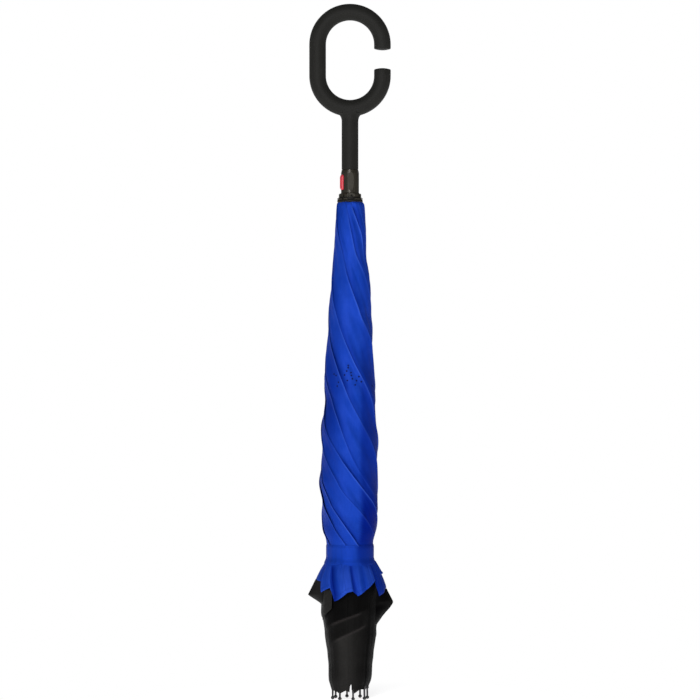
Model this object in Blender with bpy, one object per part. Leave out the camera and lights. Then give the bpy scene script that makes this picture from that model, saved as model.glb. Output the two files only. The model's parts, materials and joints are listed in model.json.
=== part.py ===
"""A stick umbrella that folds the other way round, closed and tied, standing on its rib tips.

Metres, +Z up. The shaft's axis is the Z axis, the rib tips stand on z = 0, and the handle's mouth
opens towards +X. Eight ribs hinge on the runner below the handle, eight struts hinge on the crown
inside the closed canopy, and sliding the runner down the shaft spreads them.
"""

import math

import bmesh
import bpy
from mathutils import Matrix, Vector

# Gores, and the first rib's direction round the shaft
GORES = 8
FIRST_RIB_TURN = math.radians(10)
GORE_TURN = math.tau / GORES

# Running and touching gaps
GAP = 0.0003
OVERRUN = 0.002

# Shaft
SHAFT_RADIUS = 0.006
SHAFT_WALL = 0.0008
SHAFT_IN_HANDLE = 0.045
SHAFT_BELOW_CROWN = 0.0157

# Ribs, in the order from the runner to the tip
RIB_LENGTH = 0.577
RIB_PIVOT_RADIUS = 0.0105
TIP_RING_RADIUS = 0.0203
JOINT_SHORT_OF_STRUT = 0.023
RIB_HALF_WIDTH = 0.0013
RIB_HALF_DEPTH = 0.0015
RIB_WALL = 0.0006
ROD_RADIUS = 0.0013
COLLAR_HALF_WIDTH = 0.0017
COLLAR_HALF_DEPTH = 0.002
COLLAR_LENGTH = 0.012
TIP_SLEEVE_RADIUS = 0.0017
TIP_SLEEVE_LENGTH = 0.007
TIP_PIN_RADIUS = 0.001
TIP_PIN_LENGTH = 0.01
TIP_BALL_RADIUS = 0.002

# Struts, which run beside the ribs
STRUT_LENGTH = 0.228
STRUT_PIVOT_RADIUS = 0.009
STRUT_HALF_WIDTH = 0.0012
STRUT_HALF_DEPTH = 0.0014
STRUT_WALL = 0.0006
STRUT_SIDE_STEP = 0.0044
STRUT_PIN_RADIUS = 0.0012
STRUT_PIN_HEAD = 0.0007

# Eyes on ring wires, the same on the crown and on the runner
WIRE_RADIUS = 0.0005
EYE_HALF_WIDTH = 0.0006
EYE_RADIUS = 0.0019
NECK_LENGTH = 0.009
EYE_CLEARANCE = 0.0004

# Open umbrella
OPEN_RIB_SLOPE = math.radians(15)

# Crown and its cap
CROWN_RADIUS = 0.012
CROWN_ABOVE_PIVOT = 0.005
CROWN_BELOW_PIVOT = 0.006
CROWN_EDGE = 0.0008
CAP_RADIUS = 0.011
CAP_LENGTH = 0.021
CAP_NOSE_RADIUS = 0.0052
CAP_NOSE_LENGTH = 0.004

# Runner
FLANGE_RADIUS = 0.01285
FLANGE_TOP_ABOVE_PIVOT = 0.0046
CONE_RADIUS = 0.0146
CONE_FOOT_RADIUS = 0.0132
CONE_BELOW_PIVOT = 0.0034
SLEEVE_RADIUS = 0.0103
SLEEVE_TOP_RADIUS = 0.0096
SLEEVE_LENGTH = 0.0274
RUNNER_BORE_GAP = 0.0004
SLOT_RISE = 0.0033
PANEL_HALF_WIDTH = 0.0042
PANEL_TURN = math.radians(275)
PANEL_DEPTH = 0.0007

# Latch button
BUTTON_TURN = math.radians(205)
BUTTON_LENGTH = 0.0174
BUTTON_WIDTH = 0.0064
BUTTON_INNER_RADIUS = 0.0092
BUTTON_OUTER_RADIUS = 0.0118
BUTTON_BEVEL = 0.0014
BUTTON_FOOT_ABOVE_FLANGE = 0.0042

# Handle: a C of round tube on a straight stem
GRIP_RADIUS = 0.0096
GRIP_BEND_RADIUS = 0.0373
GRIP_STRAIGHT = 0.036
GRIP_UPPER_END = 0.0066
GRIP_LOWER_END = 0.0089
GRIP_END_ROUND = 0.0022
STEM_LENGTH = 0.0611
FILLET_REACH = 0.0065
FILLET_HEIGHT = 0.009

# Rolled canopy, blue layer
ROLL_THICKNESS = 0.0128
ROLL_TOP_BELOW_PIVOT = 0.0042
ROLL_INNER_TOP_RADIUS = 0.0139
ROLL_CLEARANCE = 0.0009
CREASE_RISE = 0.0024
CREASE_LEAN_TOP = math.radians(14)
CREASE_LEAN_FOOT = math.radians(35)
GORE_SIDE_GAP = 0.0004
STRAP_Z = 0.155
STRAP_WIDTH = 0.023
STRAP_THICKNESS = 0.0011
STRAP_PADDING = 0.0048
STRAP_OVERLAP_TURN = math.radians(40)
STRAP_OVERLAP_INSET = 0.001

# Blue skirt below the strap
SKIRT_REACH = 0.0142
SKIRT_THICKNESS = 0.0018
SKIRT_SHORTEST = 0.018
SKIRT_LONGEST = 0.041
LINING_GAP = 0.0016

# Black layer below the blue hem
WING_REACH = 0.0205
WING_BELOW_STRAP = 0.043
WING_END_BELOW_STRAP = 0.073
BUNDLE_THICKNESS = 0.006
BLACK_FOOT_Z = 0.010

# Folded gores between the ribs, and folded cover along the struts
PLEAT_TOP_BELOW_PIVOT = 0.042
PLEAT_FOOT_Z = 0.020
PLEAT_TOP_RADIUS = 0.0142
PLEAT_FOOT_RADIUS = 0.0198
PLEAT_HALF_DEPTH = 0.0008
PLEAT_TOP_WIDTH = 0.003
PLEAT_FOOT_WIDTH = 0.009
PLEAT_SIDE_GAP = 0.0004
COVER_START_AT = 0.012
COVER_SHORT_OF_JOINT = 0.032
COVER_HALF_DEPTH = 0.0009
COVER_WIDTH = 0.0024

# Facets
ROUND_STEPS = 48
CROWN_STEPS = 24
WIRE_STEPS = 32
WIRE_SIDES = 6
STRAP_STEPS = 40
GRIP_SIDES = 16
GRIP_BEND_STEPS = 12
HOLE_STEPS = 10
GORE_COLUMNS = 5
ROLL_LEVELS = 17

# The roll's thickness: share of its height from strap to top, share of its largest thickness
ROLL_THICKNESS_SHARES = (
    (0.00, 0.36),
    (0.05, 0.70),
    (0.12, 0.91),
    (0.20, 1.00),
    (0.32, 0.97),
    (0.38, 0.81),
    (0.50, 0.62),
    (0.65, 0.46),
    (0.80, 0.26),
    (0.93, 0.15),
    (1.00, 0.15),
)

# Rings of the skirt between the strap and the hem
SKIRT_DROP_SHARES = (0.35, 0.7, 1)

# How deep the skirt's pleats dip, as a share of its reach
PLEAT_DIP_SHARE = 0.22

# The zigzag hem: share of a turn round the shaft, share of the way from the highest to the lowest point
HEM_DROP_SHARES = (
    (0.000, 0.55),
    (0.070, 0.08),
    (0.140, 0.92),
    (0.220, 0.42),
    (0.290, 0.87),
    (0.375, 0.17),
    (0.445, 0.75),
    (0.510, 0.00),
    (0.595, 0.58),
    (0.670, 1.00),
    (0.755, 0.58),
    (0.790, 0.83),
    (0.890, 0.12),
    (1.000, 0.55),
)

# The black corners that stand out below the hem: share of a turn, share of the full reach
WING_REACH_SHARES = (
    (0.000, 1.00),
    (0.070, 0.34),
    (0.140, 0.50),
    (0.220, 0.18),
    (0.290, 0.45),
    (0.375, 0.20),
    (0.445, 0.40),
    (0.498, 0.96),
    (0.560, 0.34),
    (0.670, 0.26),
    (0.755, 0.12),
    (0.820, 0.30),
    (0.890, 0.24),
    (1.000, 1.00),
)

# The black bundle's thickness: share of the way down from the wings to its foot, share of the largest
BUNDLE_THICKNESS_SHARES = (
    (0.00, 1.00),
    (0.32, 1.00),
    (0.55, 0.52),
    (0.78, 0.26),
    (1.00, 0.16),
)

# Sizes that follow from the ones above
RIB_JOINT_AT = STRUT_LENGTH - JOINT_SHORT_OF_STRUT
RIB_LEAN = math.asin((TIP_RING_RADIUS - RIB_PIVOT_RADIUS) / RIB_LENGTH)
RUNNER_PIVOT_Z = (RIB_LENGTH - TIP_BALL_RADIUS) * math.cos(RIB_LEAN) + TIP_BALL_RADIUS
JOINT_RADIUS = RIB_PIVOT_RADIUS + RIB_JOINT_AT * math.sin(RIB_LEAN)
JOINT_Z = RUNNER_PIVOT_Z - RIB_JOINT_AT * math.cos(RIB_LEAN)
STRUT_LEAN = math.asin((JOINT_RADIUS - STRUT_PIVOT_RADIUS) / STRUT_LENGTH)
CROWN_PIVOT_Z = JOINT_Z - STRUT_LENGTH * math.cos(STRUT_LEAN)
STRUT_SKEW = math.asin(STRUT_SIDE_STEP / STRUT_LENGTH)
OPEN_JOINT_REACH = RIB_PIVOT_RADIUS + RIB_JOINT_AT * math.cos(OPEN_RIB_SLOPE) - STRUT_PIVOT_RADIUS
OPEN_JOINT_RISE = math.sqrt(STRUT_LENGTH**2 - OPEN_JOINT_REACH**2)
OPEN_PIVOT_RISE = OPEN_JOINT_RISE - RIB_JOINT_AT * math.sin(OPEN_RIB_SLOPE)
RUNNER_TRAVEL = RUNNER_PIVOT_Z - CROWN_PIVOT_Z - OPEN_PIVOT_RISE
RIB_SWING = math.pi / 2 - RIB_LEAN + OPEN_RIB_SLOPE
STRUT_SWING = math.atan2(OPEN_JOINT_REACH, OPEN_JOINT_RISE) - STRUT_LEAN
FLANGE_TOP_Z = RUNNER_PIVOT_Z + FLANGE_TOP_ABOVE_PIVOT
SLEEVE_TOP_Z = FLANGE_TOP_Z + SLEEVE_LENGTH
STEM_FOOT_Z = SLEEVE_TOP_Z + GAP
STEM_TOP_Z = STEM_FOOT_Z + STEM_LENGTH
GRIP_LOW_CENTRE_Z = STEM_TOP_Z + GRIP_RADIUS + GRIP_BEND_RADIUS
GRIP_HIGH_CENTRE_Z = GRIP_LOW_CENTRE_Z + GRIP_STRAIGHT
ROLL_TOP_Z = RUNNER_PIVOT_Z - ROLL_TOP_BELOW_PIVOT
STRAP_TOP_Z = STRAP_Z + STRAP_WIDTH
PLEAT_TOP_Z = RUNNER_PIVOT_Z - PLEAT_TOP_BELOW_PIVOT
HEM_HIGH_Z = STRAP_Z - SKIRT_SHORTEST
HEM_LOW_Z = STRAP_Z - SKIRT_LONGEST
WING_Z = STRAP_Z - WING_BELOW_STRAP
WING_END_Z = STRAP_Z - WING_END_BELOW_STRAP
COVER_END_AT = STRUT_LENGTH - COVER_SHORT_OF_JOINT


def clear_scene():
    """Empties the file of objects."""
    for old in list(bpy.data.objects):
        bpy.data.objects.remove(old)


def material(name, color, roughness, metallic=0.0):
    """A plain Principled material."""
    made = bpy.data.materials.new(name)
    made.use_nodes = True
    shader = made.node_tree.nodes["Principled BSDF"]
    shader.inputs["Base Color"].default_value = (*color, 1)
    shader.inputs["Roughness"].default_value = roughness
    shader.inputs["Metallic"].default_value = metallic
    made.diffuse_color = (*color, 1)
    return made


def add_object(name, mesh, finish, parent=None):
    """Puts a mesh in the scene with its material."""
    made = bpy.data.objects.new(name, mesh)
    if not mesh.materials:
        mesh.materials.append(finish)
    bpy.context.scene.collection.objects.link(made)
    if parent:
        made.parent = parent
        made.matrix_parent_inverse = parent.matrix_world.inverted()
    return made


def add_axis(name, place, parent=None):
    """An empty on a joint's axis, which carries the pieces that turn or slide there."""
    made = bpy.data.objects.new(name, None)
    made.location = place
    bpy.context.scene.collection.objects.link(made)
    if parent:
        made.parent = parent
        made.matrix_parent_inverse = parent.matrix_world.inverted()
    bpy.context.view_layer.update()
    return made


def finished_mesh(bm, name, smooth_angle=math.radians(35)):
    """Turns a bmesh into a mesh with its faces pointing out and its round parts smooth."""
    bmesh.ops.remove_doubles(bm, verts=bm.verts, dist=1e-7)
    bmesh.ops.recalc_face_normals(bm, faces=bm.faces)
    mesh = bpy.data.meshes.new(name)
    bm.to_mesh(mesh)
    bm.free()
    mesh.shade_smooth()
    mesh.set_sharp_from_angle(angle=smooth_angle)
    return mesh


def turned_mesh(name, outline, steps=ROUND_STEPS):
    """A closed outline of (radius, height) points spun round the Z axis."""
    bm = bmesh.new()
    points = [bm.verts.new((radius, 0, z)) for radius, z in outline]
    edges = [bm.edges.new(pair) for pair in zip(points, points[1:] + points[:1])]
    bmesh.ops.spin(bm, geom=points + edges, cent=(0, 0, 0), axis=(0, 0, 1), angle=math.tau,
                   steps=steps, use_merge=True)
    return finished_mesh(bm, name)


def skinned_mesh(name, rings, strip_caps=False):
    """A closed skin over rings of points. Strip caps pair a ring's first half with its second."""
    bm = bmesh.new()
    loops = [[bm.verts.new(point) for point in ring] for ring in rings]
    count = len(loops[0])
    for low, high in zip(loops, loops[1:]):
        for k in range(count):
            after = (k + 1) % count
            bm.faces.new((low[k], low[after], high[after], high[k]))
    for cap in (loops[0], loops[-1]):
        if strip_caps:
            for k in range(count // 2 - 1):
                bm.faces.new((cap[k], cap[k + 1], cap[count - 2 - k], cap[count - 1 - k]))
        else:
            bm.faces.new(cap)
    return finished_mesh(bm, name)


def block_mesh(name, low, high):
    """A box between two corners."""
    ring = ((low[0], low[1]), (high[0], low[1]), (high[0], high[1]), (low[0], high[1]))
    return skinned_mesh(name, [[(x, y, z) for x, y in ring] for z in (low[2], high[2])])


def cylinder_mesh(name, radius, low, high, steps=HOLE_STEPS):
    """A round bar along Z."""
    return turned_mesh(name, ((0, low), (radius, low), (radius, high), (0, high)), steps)


def cut(target, tool_mesh, matrix, operation="DIFFERENCE"):
    """Cuts a tool out of the target, or joins it on, and keeps the result as its mesh."""
    tool = bpy.data.objects.new(target.name + "_tool", tool_mesh)
    tool.matrix_world = matrix
    tool.hide_render = True
    tool.display_type = "WIRE"
    bpy.context.scene.collection.objects.link(tool)
    step = target.modifiers.new("cut", "BOOLEAN")
    step.operation = operation
    step.solver = "EXACT"
    step.object = tool
    bpy.context.view_layer.update()
    evaluated = target.evaluated_get(bpy.context.evaluated_depsgraph_get())
    result = bpy.data.meshes.new_from_object(evaluated)
    target.modifiers.clear()
    target.data = result
    bpy.data.objects.remove(tool)
    result.shade_smooth()
    result.set_sharp_from_angle(angle=math.radians(35))


def rib_turn(number):
    """Direction of a rib round the shaft."""
    return FIRST_RIB_TURN + number * GORE_TURN


def round_the_shaft(turn, radius=0.0, side=0.0, z=0.0):
    """A point at a distance out from the shaft and to the side of that line."""
    out = Vector((math.cos(turn), math.sin(turn), 0))
    across = Vector((-math.sin(turn), math.cos(turn), 0))
    return out * radius + across * side + Vector((0, 0, z))


def between(low, high, share):
    """The value a share of the way from low to high."""
    return low + (high - low) * share


def along(table, share):
    """Reads a table of (share, value) rows with straight runs between them."""
    for (start, first), (end, last) in zip(table, table[1:]):
        if share <= end:
            return between(first, last, max(share - start, 0) / (end - start))
    return table[-1][1]


def smooth(share):
    """Eases a share from 0 to 1."""
    share = min(max(share, 0), 1)
    return share * share * (3 - 2 * share)


# Metal frame


def bar_ring(at, half_width, half_depth):
    """Eight points round a bar at a distance along it, with cut corners."""
    corner = min(half_width, half_depth) * 0.45
    inner_x = half_depth - corner
    inner_y = half_width - corner
    return [
        (half_depth, inner_y, at),
        (inner_x, half_width, at),
        (-inner_x, half_width, at),
        (-half_depth, inner_y, at),
        (-half_depth, -inner_y, at),
        (-inner_x, -half_width, at),
        (inner_x, -half_width, at),
        (half_depth, -inner_y, at),
    ]


def eye_stations(half_width, half_depth):
    """The eye and neck at the start of a rib or strut: (distance, half width, half depth)."""
    return [
        (-EYE_RADIUS, EYE_HALF_WIDTH, EYE_RADIUS * 0.4),
        (-EYE_RADIUS * 0.7, EYE_HALF_WIDTH, EYE_RADIUS * 0.8),
        (0, EYE_HALF_WIDTH, EYE_RADIUS),
        (EYE_RADIUS, EYE_HALF_WIDTH, half_depth),
        (NECK_LENGTH, EYE_HALF_WIDTH, half_depth),
        (NECK_LENGTH + half_width, half_width, half_depth),
    ]


def pierce_eye(bar):
    """The hole that a ring wire runs through."""
    reach = EYE_HALF_WIDTH + OVERRUN
    hole = cylinder_mesh("eye_hole", WIRE_RADIUS + EYE_CLEARANCE, -reach, reach)
    cut(bar, hole, Matrix.Rotation(math.pi / 2, 4, "X"))


def rib_mesh(finish):
    """One rib down the -Z axis: eye, open channel, joint collar, rod and tip."""
    collar_start = RIB_JOINT_AT - COLLAR_LENGTH / 2
    collar_end = RIB_JOINT_AT + COLLAR_LENGTH / 2
    pin_end = RIB_LENGTH - TIP_BALL_RADIUS
    pin_start = pin_end - TIP_PIN_LENGTH
    sleeve_start = pin_start - TIP_SLEEVE_LENGTH
    stations = eye_stations(RIB_HALF_WIDTH, RIB_HALF_DEPTH) + [
        (collar_start, RIB_HALF_WIDTH, RIB_HALF_DEPTH),
        (collar_start + GAP, COLLAR_HALF_WIDTH, COLLAR_HALF_DEPTH),
        (collar_end - GAP, COLLAR_HALF_WIDTH, COLLAR_HALF_DEPTH),
        (collar_end, ROD_RADIUS, ROD_RADIUS),
        (sleeve_start, ROD_RADIUS, ROD_RADIUS),
        (sleeve_start + GAP, TIP_SLEEVE_RADIUS, TIP_SLEEVE_RADIUS),
        (pin_start - GAP, TIP_SLEEVE_RADIUS, TIP_SLEEVE_RADIUS),
        (pin_start, TIP_PIN_RADIUS, TIP_PIN_RADIUS),
        (pin_end - TIP_BALL_RADIUS * 0.8, TIP_PIN_RADIUS, TIP_PIN_RADIUS),
        (pin_end - TIP_BALL_RADIUS * 0.5, TIP_BALL_RADIUS * 0.86, TIP_BALL_RADIUS * 0.86),
        (pin_end, TIP_BALL_RADIUS, TIP_BALL_RADIUS),
        (pin_end + TIP_BALL_RADIUS * 0.6, TIP_BALL_RADIUS * 0.8, TIP_BALL_RADIUS * 0.8),
        (RIB_LENGTH, TIP_BALL_RADIUS * 0.3, TIP_BALL_RADIUS * 0.3),
    ]
    rib = add_object("rib_stock", skinned_mesh("rib", [bar_ring(-a, w, d) for a, w, d in stations]), finish)
    groove_start = NECK_LENGTH + RIB_HALF_WIDTH * 2
    groove_side = RIB_HALF_WIDTH - RIB_WALL
    groove = block_mesh("groove", (-RIB_HALF_DEPTH - OVERRUN, -groove_side, -collar_start + OVERRUN),
                        (RIB_HALF_DEPTH - RIB_WALL, groove_side, -groove_start))
    cut(rib, groove, Matrix.Identity(4))
    pierce_eye(rib)
    return take_mesh(rib)


def strut_mesh(finish):
    """One strut up the +Z axis: eye, open channel, and a flat ear with its pin head."""
    ear_start = STRUT_LENGTH - STRUT_HALF_DEPTH * 5
    stations = eye_stations(STRUT_HALF_WIDTH, STRUT_HALF_DEPTH) + [
        (ear_start, STRUT_HALF_WIDTH, STRUT_HALF_DEPTH),
        (ear_start + STRUT_HALF_DEPTH, STRUT_HALF_WIDTH, STRUT_HALF_DEPTH * 1.2),
        (STRUT_LENGTH + STRUT_HALF_DEPTH, STRUT_HALF_WIDTH, STRUT_HALF_DEPTH * 1.2),
        (STRUT_LENGTH + STRUT_HALF_DEPTH * 1.6, STRUT_HALF_WIDTH, STRUT_HALF_DEPTH * 0.6),
    ]
    strut = add_object("strut_stock", skinned_mesh("strut", [bar_ring(a, w, d) for a, w, d in stations]), finish)
    groove_start = NECK_LENGTH + STRUT_HALF_WIDTH * 2
    groove_side = STRUT_HALF_WIDTH - STRUT_WALL
    groove = block_mesh("groove", (-STRUT_HALF_DEPTH + STRUT_WALL, -groove_side, groove_start),
                        (STRUT_HALF_DEPTH + OVERRUN, groove_side, ear_start - OVERRUN))
    cut(strut, groove, Matrix.Identity(4))
    pierce_eye(strut)
    pin = cylinder_mesh("ear_pin", STRUT_PIN_RADIUS, 0, STRUT_HALF_WIDTH + STRUT_PIN_HEAD)
    place = Matrix.Translation((0, 0, STRUT_LENGTH)) @ Matrix.Rotation(math.pi / 2, 4, "X")
    cut(strut, pin, place, "UNION")
    return take_mesh(strut)


def take_mesh(stock):
    """Removes a stock object and returns its mesh for the copies."""
    mesh = stock.data
    bpy.data.objects.remove(stock)
    return mesh


def make_shaft(finish):
    """The steel tube from the handle's bore to the cap."""
    low = CROWN_PIVOT_Z - SHAFT_BELOW_CROWN
    high = STEM_FOOT_Z + SHAFT_IN_HANDLE
    inner = SHAFT_RADIUS - SHAFT_WALL
    outline = ((inner, low), (SHAFT_RADIUS, low), (SHAFT_RADIUS, high), (inner, high))
    add_object("shaft", turned_mesh("shaft", outline, CROWN_STEPS), finish)


def notch_outline(pivot, groove_radius):
    """The groove of a ring wire, as part of a turned outline that goes up the outside."""
    half = WIRE_RADIUS + GAP
    return [(groove_radius, pivot - half), (groove_radius, pivot + half)]


def cut_slots(target, pivot_radius, low, high):
    """Eight slots, one for each rib or strut, open outwards."""
    inner = pivot_radius - EYE_RADIUS - GAP
    half = EYE_HALF_WIDTH + GAP
    for number in range(GORES):
        slot = block_mesh("slot", (inner, -half, low), (CONE_RADIUS + OVERRUN, half, high))
        cut(target, slot, Matrix.Rotation(rib_turn(number), 4, "Z"))


def make_crown(finish):
    """The hub that the struts hinge on: two flanges round a wire groove, with eight slots."""
    bore = SHAFT_RADIUS + GAP
    groove = STRUT_PIVOT_RADIUS - WIRE_RADIUS - GAP
    low = CROWN_PIVOT_Z - CROWN_BELOW_PIVOT
    high = CROWN_PIVOT_Z + CROWN_ABOVE_PIVOT
    half = WIRE_RADIUS + GAP
    outline = [
        (bore, low),
        (CROWN_RADIUS - CROWN_EDGE, low),
        (CROWN_RADIUS, low + CROWN_EDGE),
        (CROWN_RADIUS, CROWN_PIVOT_Z - half),
        *notch_outline(CROWN_PIVOT_Z, groove),
        (CROWN_RADIUS, CROWN_PIVOT_Z + half),
        (CROWN_RADIUS, high - CROWN_EDGE),
        (CROWN_RADIUS - CROWN_EDGE, high),
        (bore, high),
    ]
    crown = add_object("crown", turned_mesh("crown", outline, CROWN_STEPS), finish)
    cut_slots(crown, STRUT_PIVOT_RADIUS, CROWN_PIVOT_Z - EYE_RADIUS - GAP, high + OVERRUN)


def make_crown_cap(finish):
    """The blunt cap under the crown, closed over the shaft's end."""
    top = CROWN_PIVOT_Z - CROWN_BELOW_PIVOT - GAP
    foot = top - CAP_LENGTH
    shoulder = foot + CAP_NOSE_LENGTH
    bore = SHAFT_RADIUS + GAP
    floor = CROWN_PIVOT_Z - SHAFT_BELOW_CROWN - GAP
    outline = (
        (0, foot),
        (CAP_NOSE_RADIUS * 0.7, foot),
        (CAP_NOSE_RADIUS, foot + CAP_NOSE_LENGTH * 0.3),
        (CAP_NOSE_RADIUS * 1.1, shoulder),
        (CAP_RADIUS * 0.72, between(shoulder, top, 0.3)),
        (CAP_RADIUS * 0.92, between(shoulder, top, 0.6)),
        (CAP_RADIUS, between(shoulder, top, 0.85)),
        (CAP_RADIUS, top),
        (bore, top),
        (bore, floor),
        (0, floor),
    )
    add_object("crown_cap", turned_mesh("crown_cap", outline, CROWN_STEPS), finish)


def make_wire(name, radius, z, finish, parent=None):
    """A closed ring of wire that eyes hinge on."""
    side = math.tau / WIRE_SIDES
    outline = [
        (radius + WIRE_RADIUS * math.cos(k * side), z + WIRE_RADIUS * math.sin(k * side))
        for k in range(WIRE_SIDES)
    ]
    add_object(name, turned_mesh(name, outline, WIRE_STEPS), finish, parent)


# Runner and its button


def make_runner(finish, parent):
    """The sleeve with its flange and slotted notch, its button window and its finger panel."""
    bore = SHAFT_RADIUS + RUNNER_BORE_GAP
    groove = RIB_PIVOT_RADIUS - WIRE_RADIUS - GAP
    half = WIRE_RADIUS + GAP
    low = RUNNER_PIVOT_Z - CONE_BELOW_PIVOT
    neck = FLANGE_TOP_Z + SLEEVE_LENGTH * 0.04
    outline = [
        (bore, low),
        (CONE_FOOT_RADIUS, low),
        (CONE_RADIUS, between(low, RUNNER_PIVOT_Z - half, 0.6)),
        (CONE_RADIUS, RUNNER_PIVOT_Z - half),
        *notch_outline(RUNNER_PIVOT_Z, groove),
        (FLANGE_RADIUS, RUNNER_PIVOT_Z + half),
        (FLANGE_RADIUS, FLANGE_TOP_Z - CROWN_EDGE),
        (FLANGE_RADIUS - CROWN_EDGE, FLANGE_TOP_Z),
        (SLEEVE_RADIUS + CROWN_EDGE, FLANGE_TOP_Z),
        (SLEEVE_RADIUS, neck),
        (SLEEVE_RADIUS, between(neck, SLEEVE_TOP_Z, 0.85)),
        (SLEEVE_TOP_RADIUS, SLEEVE_TOP_Z),
        (bore, SLEEVE_TOP_Z),
    ]
    runner = add_object("runner", turned_mesh("runner", outline), finish, parent)
    cut_slots(runner, RIB_PIVOT_RADIUS, low - OVERRUN, RUNNER_PIVOT_Z + SLOT_RISE)
    cut_button_window(runner)
    cut_finger_panel(runner)


def button_foot_z():
    """The button's lower end."""
    return FLANGE_TOP_Z + BUTTON_FOOT_ABOVE_FLANGE


def cut_button_window(runner):
    """The window in the sleeve's wall that the button moves in."""
    half = BUTTON_WIDTH / 2 + GAP
    foot = button_foot_z() - GAP
    window = block_mesh("window", (SHAFT_RADIUS - OVERRUN, -half, foot),
                        (BUTTON_OUTER_RADIUS, half, foot + BUTTON_LENGTH + GAP + GAP))
    cut(runner, window, Matrix.Rotation(BUTTON_TURN, 4, "Z"))


def cut_finger_panel(runner):
    """The tall lens on the sleeve's front, hollowed by a barrel that lies across it."""
    middle = between(FLANGE_TOP_Z, SLEEVE_TOP_Z, 0.52)
    half_height = SLEEVE_LENGTH * 0.42
    bow = (half_height**2 + PANEL_DEPTH**2) / (PANEL_DEPTH * 2)
    barrel = cylinder_mesh("barrel", bow, -PANEL_HALF_WIDTH, PANEL_HALF_WIDTH, ROUND_STEPS * 4)
    lie_across = Matrix.Rotation(math.pi / 2, 4, "X")
    place = Matrix.Translation((SLEEVE_RADIUS - PANEL_DEPTH + bow, 0, middle)) @ lie_across
    cut(runner, barrel, Matrix.Rotation(PANEL_TURN, 4, "Z") @ place)


def make_button(finish, runner_axis):
    """The red latch button, with its outer face rounded at both ends."""
    place = round_the_shaft(BUTTON_TURN, BUTTON_INNER_RADIUS, 0, button_foot_z())
    axis = add_axis("button_axis", place, runner_axis)
    depth = BUTTON_OUTER_RADIUS - BUTTON_INNER_RADIUS
    levels = ((0, 0), (depth - BUTTON_BEVEL, 0), (depth - BUTTON_BEVEL * 0.3, 0.55), (depth, 1.2))
    rings = []
    for out, inset in levels:
        low = BUTTON_BEVEL * inset
        high = BUTTON_LENGTH - low
        half = BUTTON_WIDTH / 2 - low * 0.6
        cut_corner = BUTTON_BEVEL
        rings.append([
            (out, -half + cut_corner, low),
            (out, half - cut_corner, low),
            (out, half, low + cut_corner),
            (out, half, high - cut_corner),
            (out, half - cut_corner, high),
            (out, -half + cut_corner, high),
            (out, -half, high - cut_corner),
            (out, -half, low + cut_corner),
        ])
    button = add_object("button", skinned_mesh("button", rings), finish)
    button.location = place
    button.rotation_euler = (0, 0, BUTTON_TURN)
    button.parent = axis
    button.matrix_parent_inverse = axis.matrix_world.inverted()


# Handle


def grip_path():
    """The C's centre line from its upper end round to its lower end, as (x, z, direction)."""
    stations = [(GRIP_BEND_RADIUS, GRIP_HIGH_CENTRE_Z - GRIP_UPPER_END, math.pi / 2)]
    for step in range(GRIP_BEND_STEPS + 1):
        turn = math.pi * step / GRIP_BEND_STEPS
        x = GRIP_BEND_RADIUS * math.cos(turn)
        z = GRIP_HIGH_CENTRE_Z + GRIP_BEND_RADIUS * math.sin(turn)
        stations.append((x, z, turn + math.pi / 2))
    for step in range(GRIP_BEND_STEPS + 1):
        turn = math.pi * (1 + step / GRIP_BEND_STEPS)
        x = GRIP_BEND_RADIUS * math.cos(turn)
        z = GRIP_LOW_CENTRE_Z + GRIP_BEND_RADIUS * math.sin(turn)
        stations.append((x, z, turn + math.pi / 2))
    stations.append((GRIP_BEND_RADIUS, GRIP_LOW_CENTRE_Z + GRIP_LOWER_END, math.pi * 2.5))
    return stations


def grip_ring(x, z, direction, radius, ahead):
    """A ring of the tube, square to the centre line, moved ahead along it."""
    forward = Vector((math.cos(direction), 0, math.sin(direction)))
    outward = Vector((math.sin(direction), 0, -math.cos(direction)))
    centre = Vector((x, 0, z)) + forward * ahead
    ring = []
    for k in range(GRIP_SIDES):
        turn = math.tau * k / GRIP_SIDES
        ring.append(centre + outward * radius * math.cos(turn) + Vector((0, radius * math.sin(turn), 0)))
    return ring


def make_handle(finish):
    """The C grip on its stem, with the bore that the shaft is fixed in."""
    path = grip_path()
    shoulder = GRIP_RADIUS - GRIP_END_ROUND
    rings = []
    for inset, ahead in ((0.35, 1.25), (1, 1), (1.7, 0.45)):
        radius = shoulder + GRIP_END_ROUND * (inset - 1) if inset > 1 else shoulder * inset
        rings.append(grip_ring(*path[0], radius, GRIP_END_ROUND * (1 - ahead)))
    first = path[0]
    rings.append(grip_ring(*first, GRIP_RADIUS, GRIP_END_ROUND))
    rings.extend(grip_ring(*station, GRIP_RADIUS, 0) for station in path[1:-1])
    last = path[-1]
    rings.append(grip_ring(*last, GRIP_RADIUS, -GRIP_END_ROUND))
    for inset, ahead in ((1.7, 0.45), (1, 1), (0.35, 1.25)):
        radius = shoulder + GRIP_END_ROUND * (inset - 1) if inset > 1 else shoulder * inset
        rings.append(grip_ring(*last, radius, -GRIP_END_ROUND * (1 - ahead)))
    handle = add_object("handle", skinned_mesh("handle", rings), finish)
    cut(handle, stem_mesh(), Matrix.Identity(4), "UNION")
    bore_top = STEM_FOOT_Z + SHAFT_IN_HANDLE + GAP
    bore = cylinder_mesh("bore", SHAFT_RADIUS + GAP, STEM_FOOT_Z - OVERRUN, bore_top, ROUND_STEPS // 2)
    cut(handle, bore, Matrix.Identity(4))


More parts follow.
